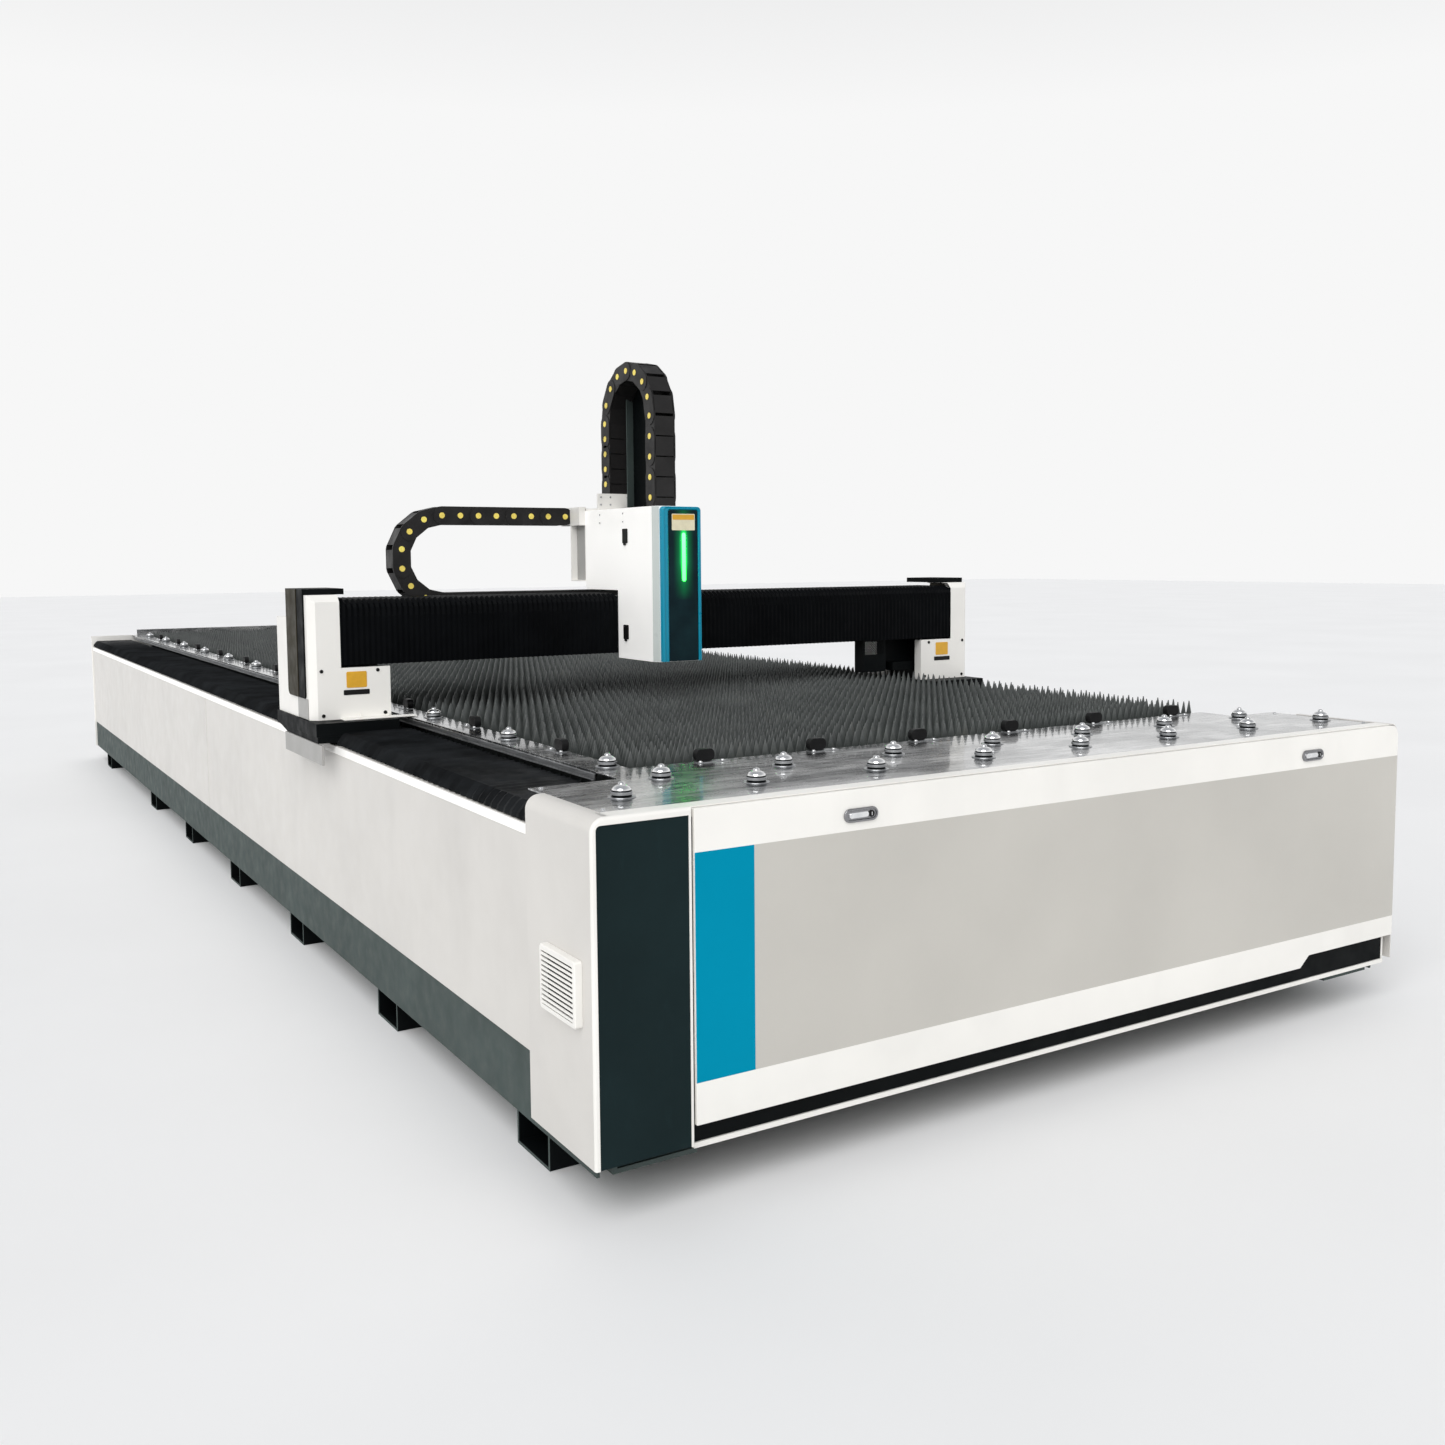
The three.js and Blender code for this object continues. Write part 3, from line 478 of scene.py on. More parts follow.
class Shape:
    """Closed solids gathered into one mesh. Millimetres, y measured back from the door's face."""

    def __init__(self):
        self.points = []
        self.faces = []
        self.paints = []

    def add(self, points, faces, paint=0):
        start = len(self.points)
        self.points += points
        self.faces += [[start + i for i in face] for face in faces]
        self.paints += [paint] * len(faces)
        return self

    def rings(self, rings, paint=0, closed=False):
        """A skin over rings of equal length, capped at both ends unless it closes on itself."""
        size = len(rings[0])
        count = len(rings)
        faces = []
        for i in range(count if closed else count - 1):
            a = i * size
            b = ((i + 1) % count) * size
            faces += [[a + j, a + (j + 1) % size, b + (j + 1) % size, b + j] for j in range(size)]
        if not closed:
            faces += [list(range(size)), [(count - 1) * size + j for j in range(size)]]
        return self.add([p for ring in rings for p in ring], faces, paint)

    def stack(self, axis, layers, paint=0, closed=False):
        """Outlines at places along one axis: 0 takes (y, z), 1 takes (x, z) and 2 takes (x, y)."""
        def put(a, b, c):
            return ((c, a, b), (a, c, b), (a, b, c))[axis]

        return self.rings([[put(a, b, c) for a, b in line] for line, c in layers], paint, closed)

    def prism(self, outline, axis, start, end, paint=0):
        """One outline drawn out along an axis."""
        return self.stack(axis, [(outline, start), (outline, end)], paint)

    def box(self, x0, x1, y0, y1, z0, z1, paint=0):
        return self.prism([(x0, y0), (x1, y0), (x1, y1), (x0, y1)], 2, z0, z1, paint)

    def lathe(self, profile, centre, axis=2, steps=20, paint=0):
        """A (radius, distance) profile turned about an axis through a point."""
        rings = []
        for radius, along in profile:
            ring = []
            for i in range(steps):
                a = 2 * math.pi * i / steps
                u, v = max(radius, 0.01) * math.cos(a), max(radius, 0.01) * math.sin(a)
                x, y, z = ((along, u, v), (u, along, v), (u, v, along))[axis]
                ring.append((centre[0] + x, centre[1] + y, centre[2] + z))
            rings.append(ring)
        return self.rings(rings, paint)

    def on(self, side):
        """The shape itself on the right (1) or its mirror image on the left (-1)."""
        if side > 0:
            return self
        other = Shape()
        other.points = [(-x, y, z) for x, y, z in self.points]
        other.faces = [face[::-1] for face in self.faces]
        other.paints = list(self.paints)
        return other

    def build(self, name, *materials, bevel=0.0, segments=2, smooth=35):
        """The Blender object. Bevel is in millimetres; edges sharper than smooth degrees stay sharp."""
        mesh = bpy.data.meshes.new(name)
        points = [(x * MM, DOOR_FACE + y * MM, z * MM) for x, y, z in self.points]
        mesh.from_pydata(points, [], self.faces)
        work = bmesh.new()
        work.from_mesh(mesh)
        bmesh.ops.recalc_face_normals(work, faces=work.faces)
        work.to_mesh(mesh)
        work.free()
        for material in materials:
            mesh.materials.append(material)
        mesh.polygons.foreach_set("material_index", self.paints)
        mesh.polygons.foreach_set("use_smooth", [True] * len(mesh.polygons))
        mesh.set_sharp_from_angle(angle=math.radians(smooth))
        made = added(name, mesh)
        if bevel:
            soften(made, bevel, segments)
        return made


def soften(obj, width, segments=2, angle=35):
    """Rounds an object's edges by a width in millimetres."""
    bevel = obj.modifiers.new("edges", "BEVEL")
    bevel.width = width * MM
    bevel.segments = segments
    bevel.limit_method = "ANGLE"
    bevel.angle_limit = math.radians(angle)
    bevel.use_clamp_overlap = True
    bevel.harden_normals = True
    return obj


def fit(piece, body, node=None):
    """The body a piece rides and the CAD node that it stands in for."""
    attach(piece, body)
    if node:
        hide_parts(node)


def fit_all(body, *rows):
    """Builds and fits pieces from rows of name, shape, materials, slot and bevel; the slot is not used.
    """
    for name, shape, materials, slot, bevel in rows:
        fit(shape.build(name, *materials, bevel=bevel), body)


def screw(shape, x, y, z, axis=2, radius=6, height=4, out=1, paint=0):
    """A domed screw head with a hexagon recess, standing out along an axis."""
    profile = [
        (radius, 0),
        (radius, height * 0.45),
        (radius * 0.8, height * 0.85),
        (radius * 0.52, height),
        (radius * 0.48, height * 0.45),
        (0, height * 0.4),
    ]
    return shape.lathe([(r, out * h) for r, h in profile], (x, y, z), axis, 12, paint)


# Bed.


def slat_tables():
    """Rows of toothed slats on edge, each a little worn and a little off straight."""
    dice = random.Random(RANDOM_SEED)
    teeth = int((SLAT_RIGHT - SLAT_LEFT) / TOOTH_PITCH)
    step = (SLAT_RIGHT - SLAT_LEFT) / teeth
    for number, (y0, y1) in enumerate(TABLE_ENDS, 1):
        table = Shape()
        for x in (SLAT_LEFT + 20, SLAT_RIGHT - 20):
            table.box(x - 10, x + 10, y0, y1, 815, SLAT_BOTTOM)
        rows = int((y1 - y0) / SLAT_PITCH)
        for row in range(rows):
            slat(table, dice, y0 + SLAT_PITCH * (row + 0.5), teeth, step)
        piece = table.build(f"slats_{number}", SLAT, smooth=20)
        fit(piece, "bed", f"slat_table_{number}")


def slat(table, dice, y, teeth, step):
    """One slat: a strip with a saw edge, closed on every side."""
    lean = dice.uniform(-2.2, 2.2)
    wear = dice.uniform(0, 2.5)
    base, top = [], []
    for i in range(teeth + 1):
        base.append((SLAT_LEFT + i * step, 0, SLAT_BOTTOM))
        top.append((SLAT_LEFT + i * step, 0, VALLEY_HEIGHT + dice.uniform(-1.5, 1.5)))
    tips = []
    for i in range(teeth):
        burnt = dice.uniform(0, 9) if dice.random() < 0.12 else dice.uniform(0, 2)
        drift = dice.uniform(-2.5, 2.5)
        tips.append((SLAT_LEFT + (i + 0.5) * step + drift, lean, TIP_HEIGHT - wear - burnt))
    line = base + top + tips
    count = len(line)
    points = [(px, y + py + face, pz) for face in (-2, 2) for px, py, pz in line]
    n = teeth + 1
    faces = []
    for i in range(teeth):
        b0, b1, t0, t1, tip = i, i + 1, n + i, n + i + 1, 2 * n + i
        faces += [[b0, b1, t1, t0], [t0, t1, tip]]
        faces += [[b1 + count, b0 + count, t0 + count, t1 + count], [t1 + count, t0 + count, tip + count]]
        faces += [[t0, tip, tip + count, t0 + count], [tip, t1, t1 + count, tip + count]]
        faces += [[b1, b0, b0 + count, b1 + count]]
    faces += [[0, n, n + count, count], [n - 1, n - 1 + count, 2 * n - 1 + count, 2 * n - 1]]
    table.add(points, faces)


def scrap_tray():
    """The dark hopper under the slats that catches the dross."""
    tray = Shape()
    inside = [(-1170, 770), (-1160, 770), (-760, 420), (760, 420), (1160, 770), (1170, 770)]
    outline = inside + [(764, 412), (-764, 412)]
    tray.prism(outline, 1, 110, 8600)
    fit(tray.build("scrap_tray", FRAME_GREY), "bed")


def ball_unit(shape, x, y):
    """A ball transfer unit: round flange, grooved cup, domed shoulder and the rolling ball."""
    flange = [(0, 0), (33, 0), (33.5, 1), (32.5, 2.6), (27, 3), (25, 3)]
    groove = [(24.9, 3), (23.4, 3.4), (23.4, 6.6), (24.9, 7)]
    cup = [(25, 7), (26, 8), (26, 14), (25, 15)]
    ring = [(24.9, 15), (22.6, 15.4), (22.6, 18), (24, 18.4)]
    dome = [(24, 18.4), (23.4, 21), (20, 25), (14, 28.4), (9, 29.6)]
    ball = [(8.6, 29.8), (9, 32), (7.4, 35), (4.4, 36.8), (0, 37.4)]
    place = (x, y, PLATE_TOP)
    for profile, paint in ((flange, 0), (groove, 1), (cup, 0), (ring, 1), (dome, 2), (ball, 2)):
        shape.lathe(profile, place, 2, 28, paint)


def sheet_block(plates, blocks, screws, x, y, along):
    """A black rounded bumper on a small plate with two bright screws."""
    dx, dy = (1, 0) if along == 0 else (0, 1)
    if along == 0:
        plates.box(x - 34, x + 62, y - 17, y + 13, PLATE_TOP, PLATE_TOP + 2.5)
        outline = rounded(x - 32, x + 26, PLATE_TOP + 2.5, PLATE_TOP + 37, 15, 6)
        blocks.prism(outline, 1, y - 4, y + 18)
    else:
        plates.box(x - 15, x + 15, y - 34, y + 62, PLATE_TOP, PLATE_TOP + 2.5)
        outline = rounded(y - 32, y + 26, PLATE_TOP + 2.5, PLATE_TOP + 37, 15, 6)
        blocks.prism(outline, 0, x, x + 22)
    for step in (-24, 46):
        screw(screws, x + dx * step, y + dy * step - 11 * dx, PLATE_TOP + 2.5, 2, 5.5, 4)


def bed_hardware():
    """Ball units, bumpers and screws on the bright plates."""
    units, plates, blocks, screws = Shape(), Shape(), Shape(), Shape()
    for count, first, pitch, y in BALL_ROWS:
        for i in range(count):
            ball_unit(units, first + pitch * i, y)
    for i in range(6):
        sheet_block(plates, blocks, screws, -840 + 377 * i, 580, 0)
    for i in range(12):
        ball_unit(units, -1101, 660 + 690 * i)
    for i in range(11):
        sheet_block(plates, blocks, screws, -1093, 1000 + 690 * i, 1)
    for side in SIDES:
        for y in (430, 90):
            screw(screws, side * 1396, y, PLATE_TOP, 2, 6, 4)
    fit_all(
        "bed",
        ("ball_units", units, [STEEL, BLACK, CHROME], "chrome", 0),
        ("bumper_plates", plates, [STEEL], "machined_steel", 0.8),
        ("bumpers", blocks, [RUBBER], "chain_plastic", 1.5),
        ("plate_screws", screws, [CHROME], "chrome", 0),
    )


def strip_edges():
    """The stepped outer edge of the bright strip on the left."""
    edge = Shape()
    edge.box(-1169, -1165.4, *STRIP_SPAN, 908, 921)
    edge.box(-1172, -1165.4, *STRIP_SPAN, 903, 907)
    fit(edge.build("strip_edge_left", STEEL, bevel=0.6), "bed")


def foot_ends():
    """The sawn ends of the foot tubes, a little lighter than their sides."""
    ends = Shape()
    for y in FOOT_PLACES:
        y0, y1 = y - FOOT_HALF, y + FOOT_HALF
        for x0, x1 in ((-1426, -1425.2), (1425.2, 1426)):
            ends.box(x0, x1, y0, y1, 0.6, 8)
            ends.box(x0, x1, y0, y1, 91, 98.6)
            ends.box(x0, x1, y0, y0 + 8, 8, 91)
            ends.box(x0, x1, y1 - 8, y1, 8, 91)
    fit(ends.build("foot_ends", FRAME_GREY), "bed")


def panel_seams():
    """Narrow cover strips where the side sheets meet, in the side white painted darker as shade, and the
    folded rim along their top in a brighter, faintly glowing white that is a painted highlight.
    """
    for side, name in HANDS:
        seams, rims = Shape(), Shape()
        seams.box(1441.6, 1443.6, 4355, 4365, 290, 820)
        rims.prism([(1441.2, 822), (1444.6, 824), (1442.8, 846), (1441.2, 849)], 1, 364, 8655)
        fit_all(
            "bed",
            (f"panel_seam_{name}", seams.on(side), [SHADED_SIDE_WHITE], "white_paint", 0.5),
            (f"panel_rim_{name}", rims.on(side), [LIT_RIM_WHITE], "white_paint", 0.5),
        )


def front_lip():
    """The thin white lip under the black plinth and up its right end."""
    lip = Shape()
    lip.box(DOOR_LEFT + 3, 1436, 20, 62, 130, 143.6)
    lip.box(1428.8, 1436, 22, 60, 143.6, 226)
    fit(lip.build("front_lip", WHITE, bevel=1.5), "bed")


def corner_rim():
    """The top rail of the front cabinet and the rounded rim round the dark corner panel."""
    right = DOOR_LEFT - 4
    rim = Shape()
    path = []
    section = ((0, 13.4), (0, 10), (1.2, 6.4), (3.6, 4.4), (6, 4.0), (11.4, 4.0), (12, 4.6), (12, 13.4))
    for grow, y in section:
        left, top = -CHEEK + grow, CHEEK_TOP - grow * 1.5
        radius = CORNER_ROUND - grow * 2
        outline = [(left, CHEEK_BOTTOM)]
        outline += arc(left + radius, top - radius, radius, 180, 90, 8)
        outline += [(right - grow * 0.6, top), (right - grow * 0.6, CHEEK_BOTTOM)]
        path.append([(x, y, z) for x, z in outline])
    rim.rings([list(ring) for ring in zip(*path)])
    rim.box(CORNER_ROUND - CHEEK, 1417, 14, 62, CHEEK_TOP - 25, CHEEK_TOP)
    rim.box(right, 1417, 12.6, 14, CHEEK_TOP - 3, CHEEK_TOP)
    piece = rim.build("corner_rim", WHITE, bevel=1.2, smooth=60)
    fit(piece, "bed", "front_top_frame")


def vent():
    """A louvred vent box: a round-cornered hood with flat blades in front of a black back sheet, painted
    shade for the dark inside of the vent.
    """
    box = Shape()
    outer = rounded(*VENT, 8)
    inner = rounded(68, 238, 464, 591, 4)
    middle = (153, 528)
    rings = []
    for outline, x, inset in (
        (outer, -1468.4, 0), (outer, -1485, 0), (outer, -1487.6, 2), (inner, -1488, 0), (inner, -1471, 0)
    ):
        rings.append([
            (x, y + (inset if y < middle[0] else -inset), z + (inset if z < middle[1] else -inset))
            for y, z in outline
        ])
    box.rings(rings, 0, closed=True)
    # A black sheet behind the blades: painted shade for the inside of the vent.
    box.box(-1471, -1469, 66, 240, 460, 595, 1)
    for i in range(BLADES):
        z = 466 + i * BLADE_PITCH
        blade = [(-1487.4, z), (-1487.4, z + 5.8), (-1485.8, z + 6.4), (-1484.8, z + 1.0)]
        box.prism(blade, 1, 67, 239)
    fit(box.build("vent_box", WHITE, BLACK), "bed", "vent_left")


def rear_details():
    """Bolts on the plain rear panel."""
    bolts = Shape()
    for x in range(-1350, 1351, 450):
        for z in (160, 880):
            screw(bolts, x, 8684, z, 1, 7, 5, 1)
    fit(bolts.build("rear_bolts", STEEL), "bed")


# Door.


def door():
    """The door's folded sheet, with its bands of colour cut along straight lines."""
    radius = 35
    outline = [(DOOR_LEFT, DOOR_BOTTOM), (972, DOOR_BOTTOM), (1014, 227), (DOOR_RIGHT, 227)]
    outline += arc(DOOR_RIGHT - radius, DOOR_TOP - radius, radius, 0, 90, 8)
    outline += [(DOOR_LEFT, DOOR_TOP)]
    piece = Shape().prism(outline, 1, 0, 12).build("door_sheet", WHITE, SILVER, TEAL)
    work = bmesh.new()
    work.from_mesh(piece.data)
    up = (0, 0, 1)
    cuts = (((0, 0, BAND_TOP), up), ((0, 0, BAND_BOTTOM), up), ((FIELD_SPLIT, 0, 0), (1, 0, 0)))
    for point, normal in cuts:
        everything = [*work.verts, *work.edges, *work.faces]
        bmesh.ops.bisect_plane(work, geom=everything, plane_co=Vector(point) * MM, plane_no=normal)
    for face in work.faces:
        middle = face.calc_center_median() / MM
        in_field = BAND_BOTTOM < middle.z < BAND_TOP and face.normal.y < -0.5
        face.material_index = (2 if middle.x < FIELD_SPLIT else 1) if in_field else 0
    work.to_mesh(piece.data)
    work.free()
    soften(piece, 1.6, 3)
    fit(piece, "door", "front_door")


def door_back():
    """Stiffening ribs folded on the inner side of the door."""
    ribs = Shape()
    for x in (-1100, -550, 0, 550, 1100):
        ribs.box(x - 20, x + 20, 12.2, 13.6, 300, 820)
    fit(ribs.build("door_ribs", WHITE, bevel=0.5), "door")


def latches():
    """Turn latches: a pill-shaped steel dish, a raised bright lever and a key barrel."""
    for x, side in zip(LATCH_PLACES, ("left", "right")):
        latch = Shape()
        dish = ((0, -0.4), (0, -4.2), (-1.5, -5.6), (-3.2, -6), (-5, -5.4), (-6.4, -2.6))
        latch.stack(1, [(pill(x, LATCH_HEIGHT, 34, 17 + grow), y) for grow, y in dish])
        lever = ((7.4, -2.4), (7.4, -5), (6.2, -5.9))
        latch.stack(1, [(pill(x - 7, LATCH_HEIGHT, 22, radius), y) for radius, y in lever], 2)
        barrel = [(0, -2.4), (8.4, -2.4), (8.4, -5), (7, -5.8), (0, -5.8)]
        latch.lathe(barrel, (x + 31, 0, LATCH_HEIGHT), 1, 24, 1)
        latch.box(x + 30, x + 32, -5.95, -5.7, LATCH_HEIGHT - 4, LATCH_HEIGHT + 4, 2)
        piece = latch.build(f"latch_{side}_handle", DISH, RUBBER, CHROME)
        fit(piece, f"latch_{side}", f"front_latch_{side}")


def pill(x, z, half, radius):
    return arc(x + half, z, radius, -90, 90, 10) + arc(x - half, z, radius, 90, 270, 10)


# Bellows.


def side_bellows():
    """Pleated covers over the long rails, each stretched between the bed and the gantry."""
    front, rear = GANTRY_ENDS[0] - 0.4, GANTRY_ENDS[1] + 0.4
    near, far = BELLOWS_SPAN
    spans = (("front", near, front, near, front), ("rear", rear, far, far, rear))
    for side, hand in HANDS:
        for name, y0, y1, fixed, moving in spans:
            count = round((y1 - y0) / SIDE_PLEAT)
            layers = []
            for i in range(2 * count + 1):
                y = y0 + (y1 - y0) * i / (2 * count)
                depth = (i % 2) * slack(y, fixed, moving)
                layers.append((side_profile(depth, BELLOWS_INNER[side]), y))
            cover = Shape().stack(1, layers).on(side)
            piece = cover.build(f"side_bellows_{name}_{hand}", SIDE_CLOTH, smooth=12)
            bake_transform(piece)
            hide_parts(f"bellows_{name}_{hand}")


def slack(y, fixed, moving):
    """How deep the pleats are: almost pulled flat at the bed's end, gathered up at the gantry's."""
    part = min(1, abs(y - fixed) / min(1300, abs(moving - fixed)))
    return 0.12 + 0.88 * part * part * (3 - 2 * part)


def side_profile(depth, inner):
    """The section of a side cover, at a crest (depth 0) or down in a fold (depth up to 1)."""
    top = BELLOWS_TOP - 11 * depth
    out = 30 * depth
    return [
        (inner, BELLOWS_BOTTOM + 2),
        (1440 - out * 0.6, BELLOWS_BOTTOM),
        (1438 - out, BELLOWS_BOTTOM + 12),
        (1420 - out, top - 7 - out * 0.2),
        (1410 - out, top - 1),
        (1300, top - 0.5),
        (inner, top - 1.5),
    ]


def beam_bellows():
    """Pleated covers over the front and the top of the beam, one on each side of the head."""
    spans = (
        ("left", -1392, -307.6, -1392, -308),
        ("right", -106.4, 1392, 1392, -106),
    )
    for name, x0, x1, fixed, moving in spans:
        count = round((x1 - x0) / BEAM_PLEAT)
        places = [x0 + (x1 - x0) * i / (2 * count) for i in range(2 * count + 1)]
        cover = Shape().stack(0, [(beam_profile(i % 2), x) for i, x in enumerate(places)])
        piece = cover.build(f"beam_cover_{name}", BEAM_CLOTH, smooth=12)
        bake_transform(piece)
        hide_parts(f"beam_bellows_{name}")


def beam_profile(valley):
    """The section of a beam cover at a crest (0) or in a fold (1)."""
    d = 2.5 if valley else 0
    e = 9 if valley else 0
    return [
        (2154 + d, 1118 + d),
        (2168, 1118),
        (2170, 1322),
        (2196, 1341),
        (2400, 1341),
        (2400, 1352.6 - e * 0.5),
        (2194, 1352.6 - e * 0.6),
        (2164 + e * 0.5, 1338 - e * 0.6),
        (2154 + e, 1322),
        (2154 + d, 1290),
    ]


# Gantry.


def gantry_feet():
    """Black slabs, columns and guide blocks, with the grey guard outside the side panel."""
    y0, y1 = GANTRY_ENDS
    for side, hand in HANDS:
        foot = Shape()
        foot.box(FOOT_INNER, GANTRY_OUT, y0, y1, 884, SLAB_TOP)
        foot.prism([(y0, 862), (y1 - 130, 862), (y1 - 8, 883.6), (y0, 883.6)], 0, FOOT_INNER + 10, 1504)
        foot.box(1240, 1385, 2230, 2398, 925, 1117.6)
        foot.box(1262, 1363, 2226, 2234, 950, 1090)
        for y in (2100, 2530):
            foot.box(1330, 1390, y, y + 60, 805.4, 866)
        foot.box(1500, GANTRY_OUT, 2000, 2500, 795, 861.6, 1)
        for y in (2172, 2300, 2450, 2580):
            screw(foot, 1230, y, SLAB_TOP, 2, 6, 4, 1, 2)
        foot = foot.on(side)
        piece = foot.build(f"foot_block_{hand}", BLACK, GUARD_GREY_AND_PAINTED_SHADE, STEEL, bevel=1.6)
        fit(piece, "gantry", f"gantry_foot_{hand}")


def gantry_caps():
    """The dark cap on the outer side: a black front facet, an olive side, a fold over the top, and a thin
    grey sheet below it that is painted shade under the cap.
    """
    y0, y1 = CAP_ENDS
    for side, hand in HANDS:
        cap = Shape()
        front = arc(y0 + 12, CAP_BOTTOM + 12, 12, 180, 270, 5)
        facet = [(CAP_FOLD, CAP_TOP), (y0, CAP_TOP)] + front + [(CAP_FOLD, CAP_BOTTOM)]
        cap.prism(facet, 0, 1500.4, 1505.6, 1)
        rear = arc(y1 - 26, CAP_BOTTOM + 26, 26, -90, 0, 6)
        olive = [(CAP_FOLD + 0.4, CAP_BOTTOM)] + rear + [(y1, CAP_TOP), (CAP_FOLD + 0.4, CAP_TOP)]
        cap.prism(olive, 0, 1500.4, GANTRY_OUT, 0)
        cap.box(1360, 1500.2, y0, y1, 1367.4, CAP_TOP, 1)
        # A thin grey sheet on the cover's side below the cap: painted shade under the cap.
        cap.box(1500.4, 1502, 2185, 2322, 932, 1004, 2)
        cap = cap.on(side)
        piece = cap.build(f"side_cap_{hand}", OLIVE, BLACK, GUARD_GREY_AND_PAINTED_SHADE, bevel=1.2)
        fit(piece, "gantry", f"gantry_cap_{hand}")


def cover_screws():
    """Black screws and a blank amber plate on each end cover, and the clips on the left tray."""
    for side, hand in HANDS:
        dots, plate = Shape(), Shape()
        for x, z in ((1461, 1102), (1263, 1099), (1458, 946), (1240, 946)):
            screw(dots, x, COVER_FACE, z, 1, 6.5, 4, -1)
        plate.prism(rounded(1303, 1375, 1040, 1097, 5), 1, 2151.8, 2152.9)
        plate.prism(rounded(1294, 1386, 1015, 1033, 3), 1, 2151.8, 2152.9, 1)
        fit_all(
            "gantry",
            (f"cover_screws_{hand}", dots.on(side), [RUBBER], "black_paint", 0),
            (f"blank_plate_{hand}", plate.on(side), [AMBER, RUBBER], "door_grey", 0.3),
        )
    clips = Shape()
    for x in (-1330, -1230):
        clips.box(x - 3, x + 3, 2143, 2152.6, 933.6, 947)
    clips.box(-1395, -1222, 2149, 2152.6, 933.6, 939)
    fit(clips.build("tray_clips", WHITE, bevel=0.8), "gantry")


def perforated_guard():
    """A black perforated sheet under the right end of the beam, with a wall and a small case."""
    guard = Shape()
    x0, x1, z0, z1 = 927, 1053, 975, 1117
    cell = (x1 - x0 - 20) / 9
    rows = 5
    low = z1 - 6 - rows * cell
    for column in range(9):
        for row in range(rows):
            hole(guard, x0 + 10 + (column + 0.5) * cell, 2200, low + (row + 0.5) * cell, cell / 2)
    rails = ((x0, x1, z1 - 6, z1), (x0, x1, z0, low))
    posts = ((x0, x0 + 10, low, z1 - 6), (x1 - 10, x1, low, z1 - 6))
    for a, b, c, d in rails + posts:
        guard.box(a, b, 2200, 2202, c, d)
    guard.box(x0, x0 + 2, 2202, 2262, z0, z1)
    guard.box(x1, 1240, 2262, 2266, z0, 1117)
    guard.box(1105, 1240, 2215, 2262, 975, 1012)
    fit(guard.build("perforated_guard", BLACK, GUARD_GREY_AND_PAINTED_SHADE), "gantry")


def hole(shape, x, y, z, half):
    """One square cell of a sheet with a round hole through it."""
    steps = 8
    points = []
    for depth in (0, 2):
        for i in range(steps):
            a = 2 * math.pi * (i + 0.5) / steps
            c, s = math.cos(a), math.sin(a)
            edge = half / max(abs(c), abs(s))
            points.append((x + edge * c, y + depth, z + edge * s))
            points.append((x + half * 0.62 * c, y + depth, z + half * 0.62 * s))
    faces = []
    size = 2 * steps
    for i in range(steps):
        o, p = 2 * i, 2 * ((i + 1) % steps)
        faces += [[o, p, p + 1, o + 1], [o + size, o + 1 + size, p + 1 + size, p + size]]
        faces += [[o + 1, p + 1, p + 1 + size, o + 1 + size], [p, o, o + size, p + size]]
    shape.add(points, faces)


# Chains.


def chain_link(bodies, pins, at, along, out, across, width, length, odd):
    """One link of a drag chain: two side plates, a bar on each face and yellow pins at one end."""
    def turned(outline, depths):
        return [[tuple(at + along * a + out * b + across * w) for a, b in outline] for w in depths]

    half = LINK / 2
    sheet = 5
    shift = 2.5 if odd else 0
    stadium = arc(length / 2, 0, half - 0.5, -90, 90, 8) + arc(-length / 2, 0, half - 0.5, 90, 270, 8)
    for sign in (-1, 1):
        outer = sign * (width / 2 - 1.5 - shift)
        inner = outer - sign * sheet
        bodies.rings(turned(stadium, (outer, inner)))
        disc = arc(-length / 2, 0, 11.5, 0, 330, 11)
        face = sign * (width / 2 - 1.6)
        ends = (face - sign * 3, face + sign * 1.5)
        pins.rings(turned(disc, ends))
    for level, thick in ((half - 1, -7), (-half + 1, 7)):
        reach = length * 0.47
        bar = [(-reach, level), (reach, level), (reach - 3, level + thick), (3 - reach, level + thick)]
        ends = (-(width / 2 - 9), width / 2 - 9)
        bodies.rings(turned(bar, ends))


def straight_links(first, last, count):
    """Places and directions of links on a straight run."""
    step = (last - first) / count
    return [(first + step * (i + 0.5), step.normalized(), step.length) for i in range(count)]


def bend_links(centre, radius, start, end, count, flat, up):
    """Places and directions of links round an arc, in the plane of two directions."""
    links = []
    for i in range(count):
        a0 = math.radians(start + (end - start) * i / count)
        a1 = math.radians(start + (end - start) * (i + 1) / count)
        p0 = centre + (flat * math.cos(a0) + up * math.sin(a0)) * radius
        p1 = centre + (flat * math.cos(a1) + up * math.sin(a1)) * radius
        links.append(((p0 + p1) / 2, (p1 - p0).normalized(), (p1 - p0).length))
    return links


def chain(name, links, across, width, inside, first=0):
    """Builds the bodies and the pins of one stretch of chain; every other link sits further in."""
    bodies, pins = Shape(), Shape()
    for i, (at, along, length) in enumerate(links):
        out = along.cross(across).normalized()
        if out.dot(inside - at) > 0:
            out = -out
        chain_link(bodies, pins, at, along, out, across, width, length, (i + first) % 2)
    return bodies.build(name, CHAIN, smooth=30), pins.build(f"{name}_pins", PIN, smooth=30)


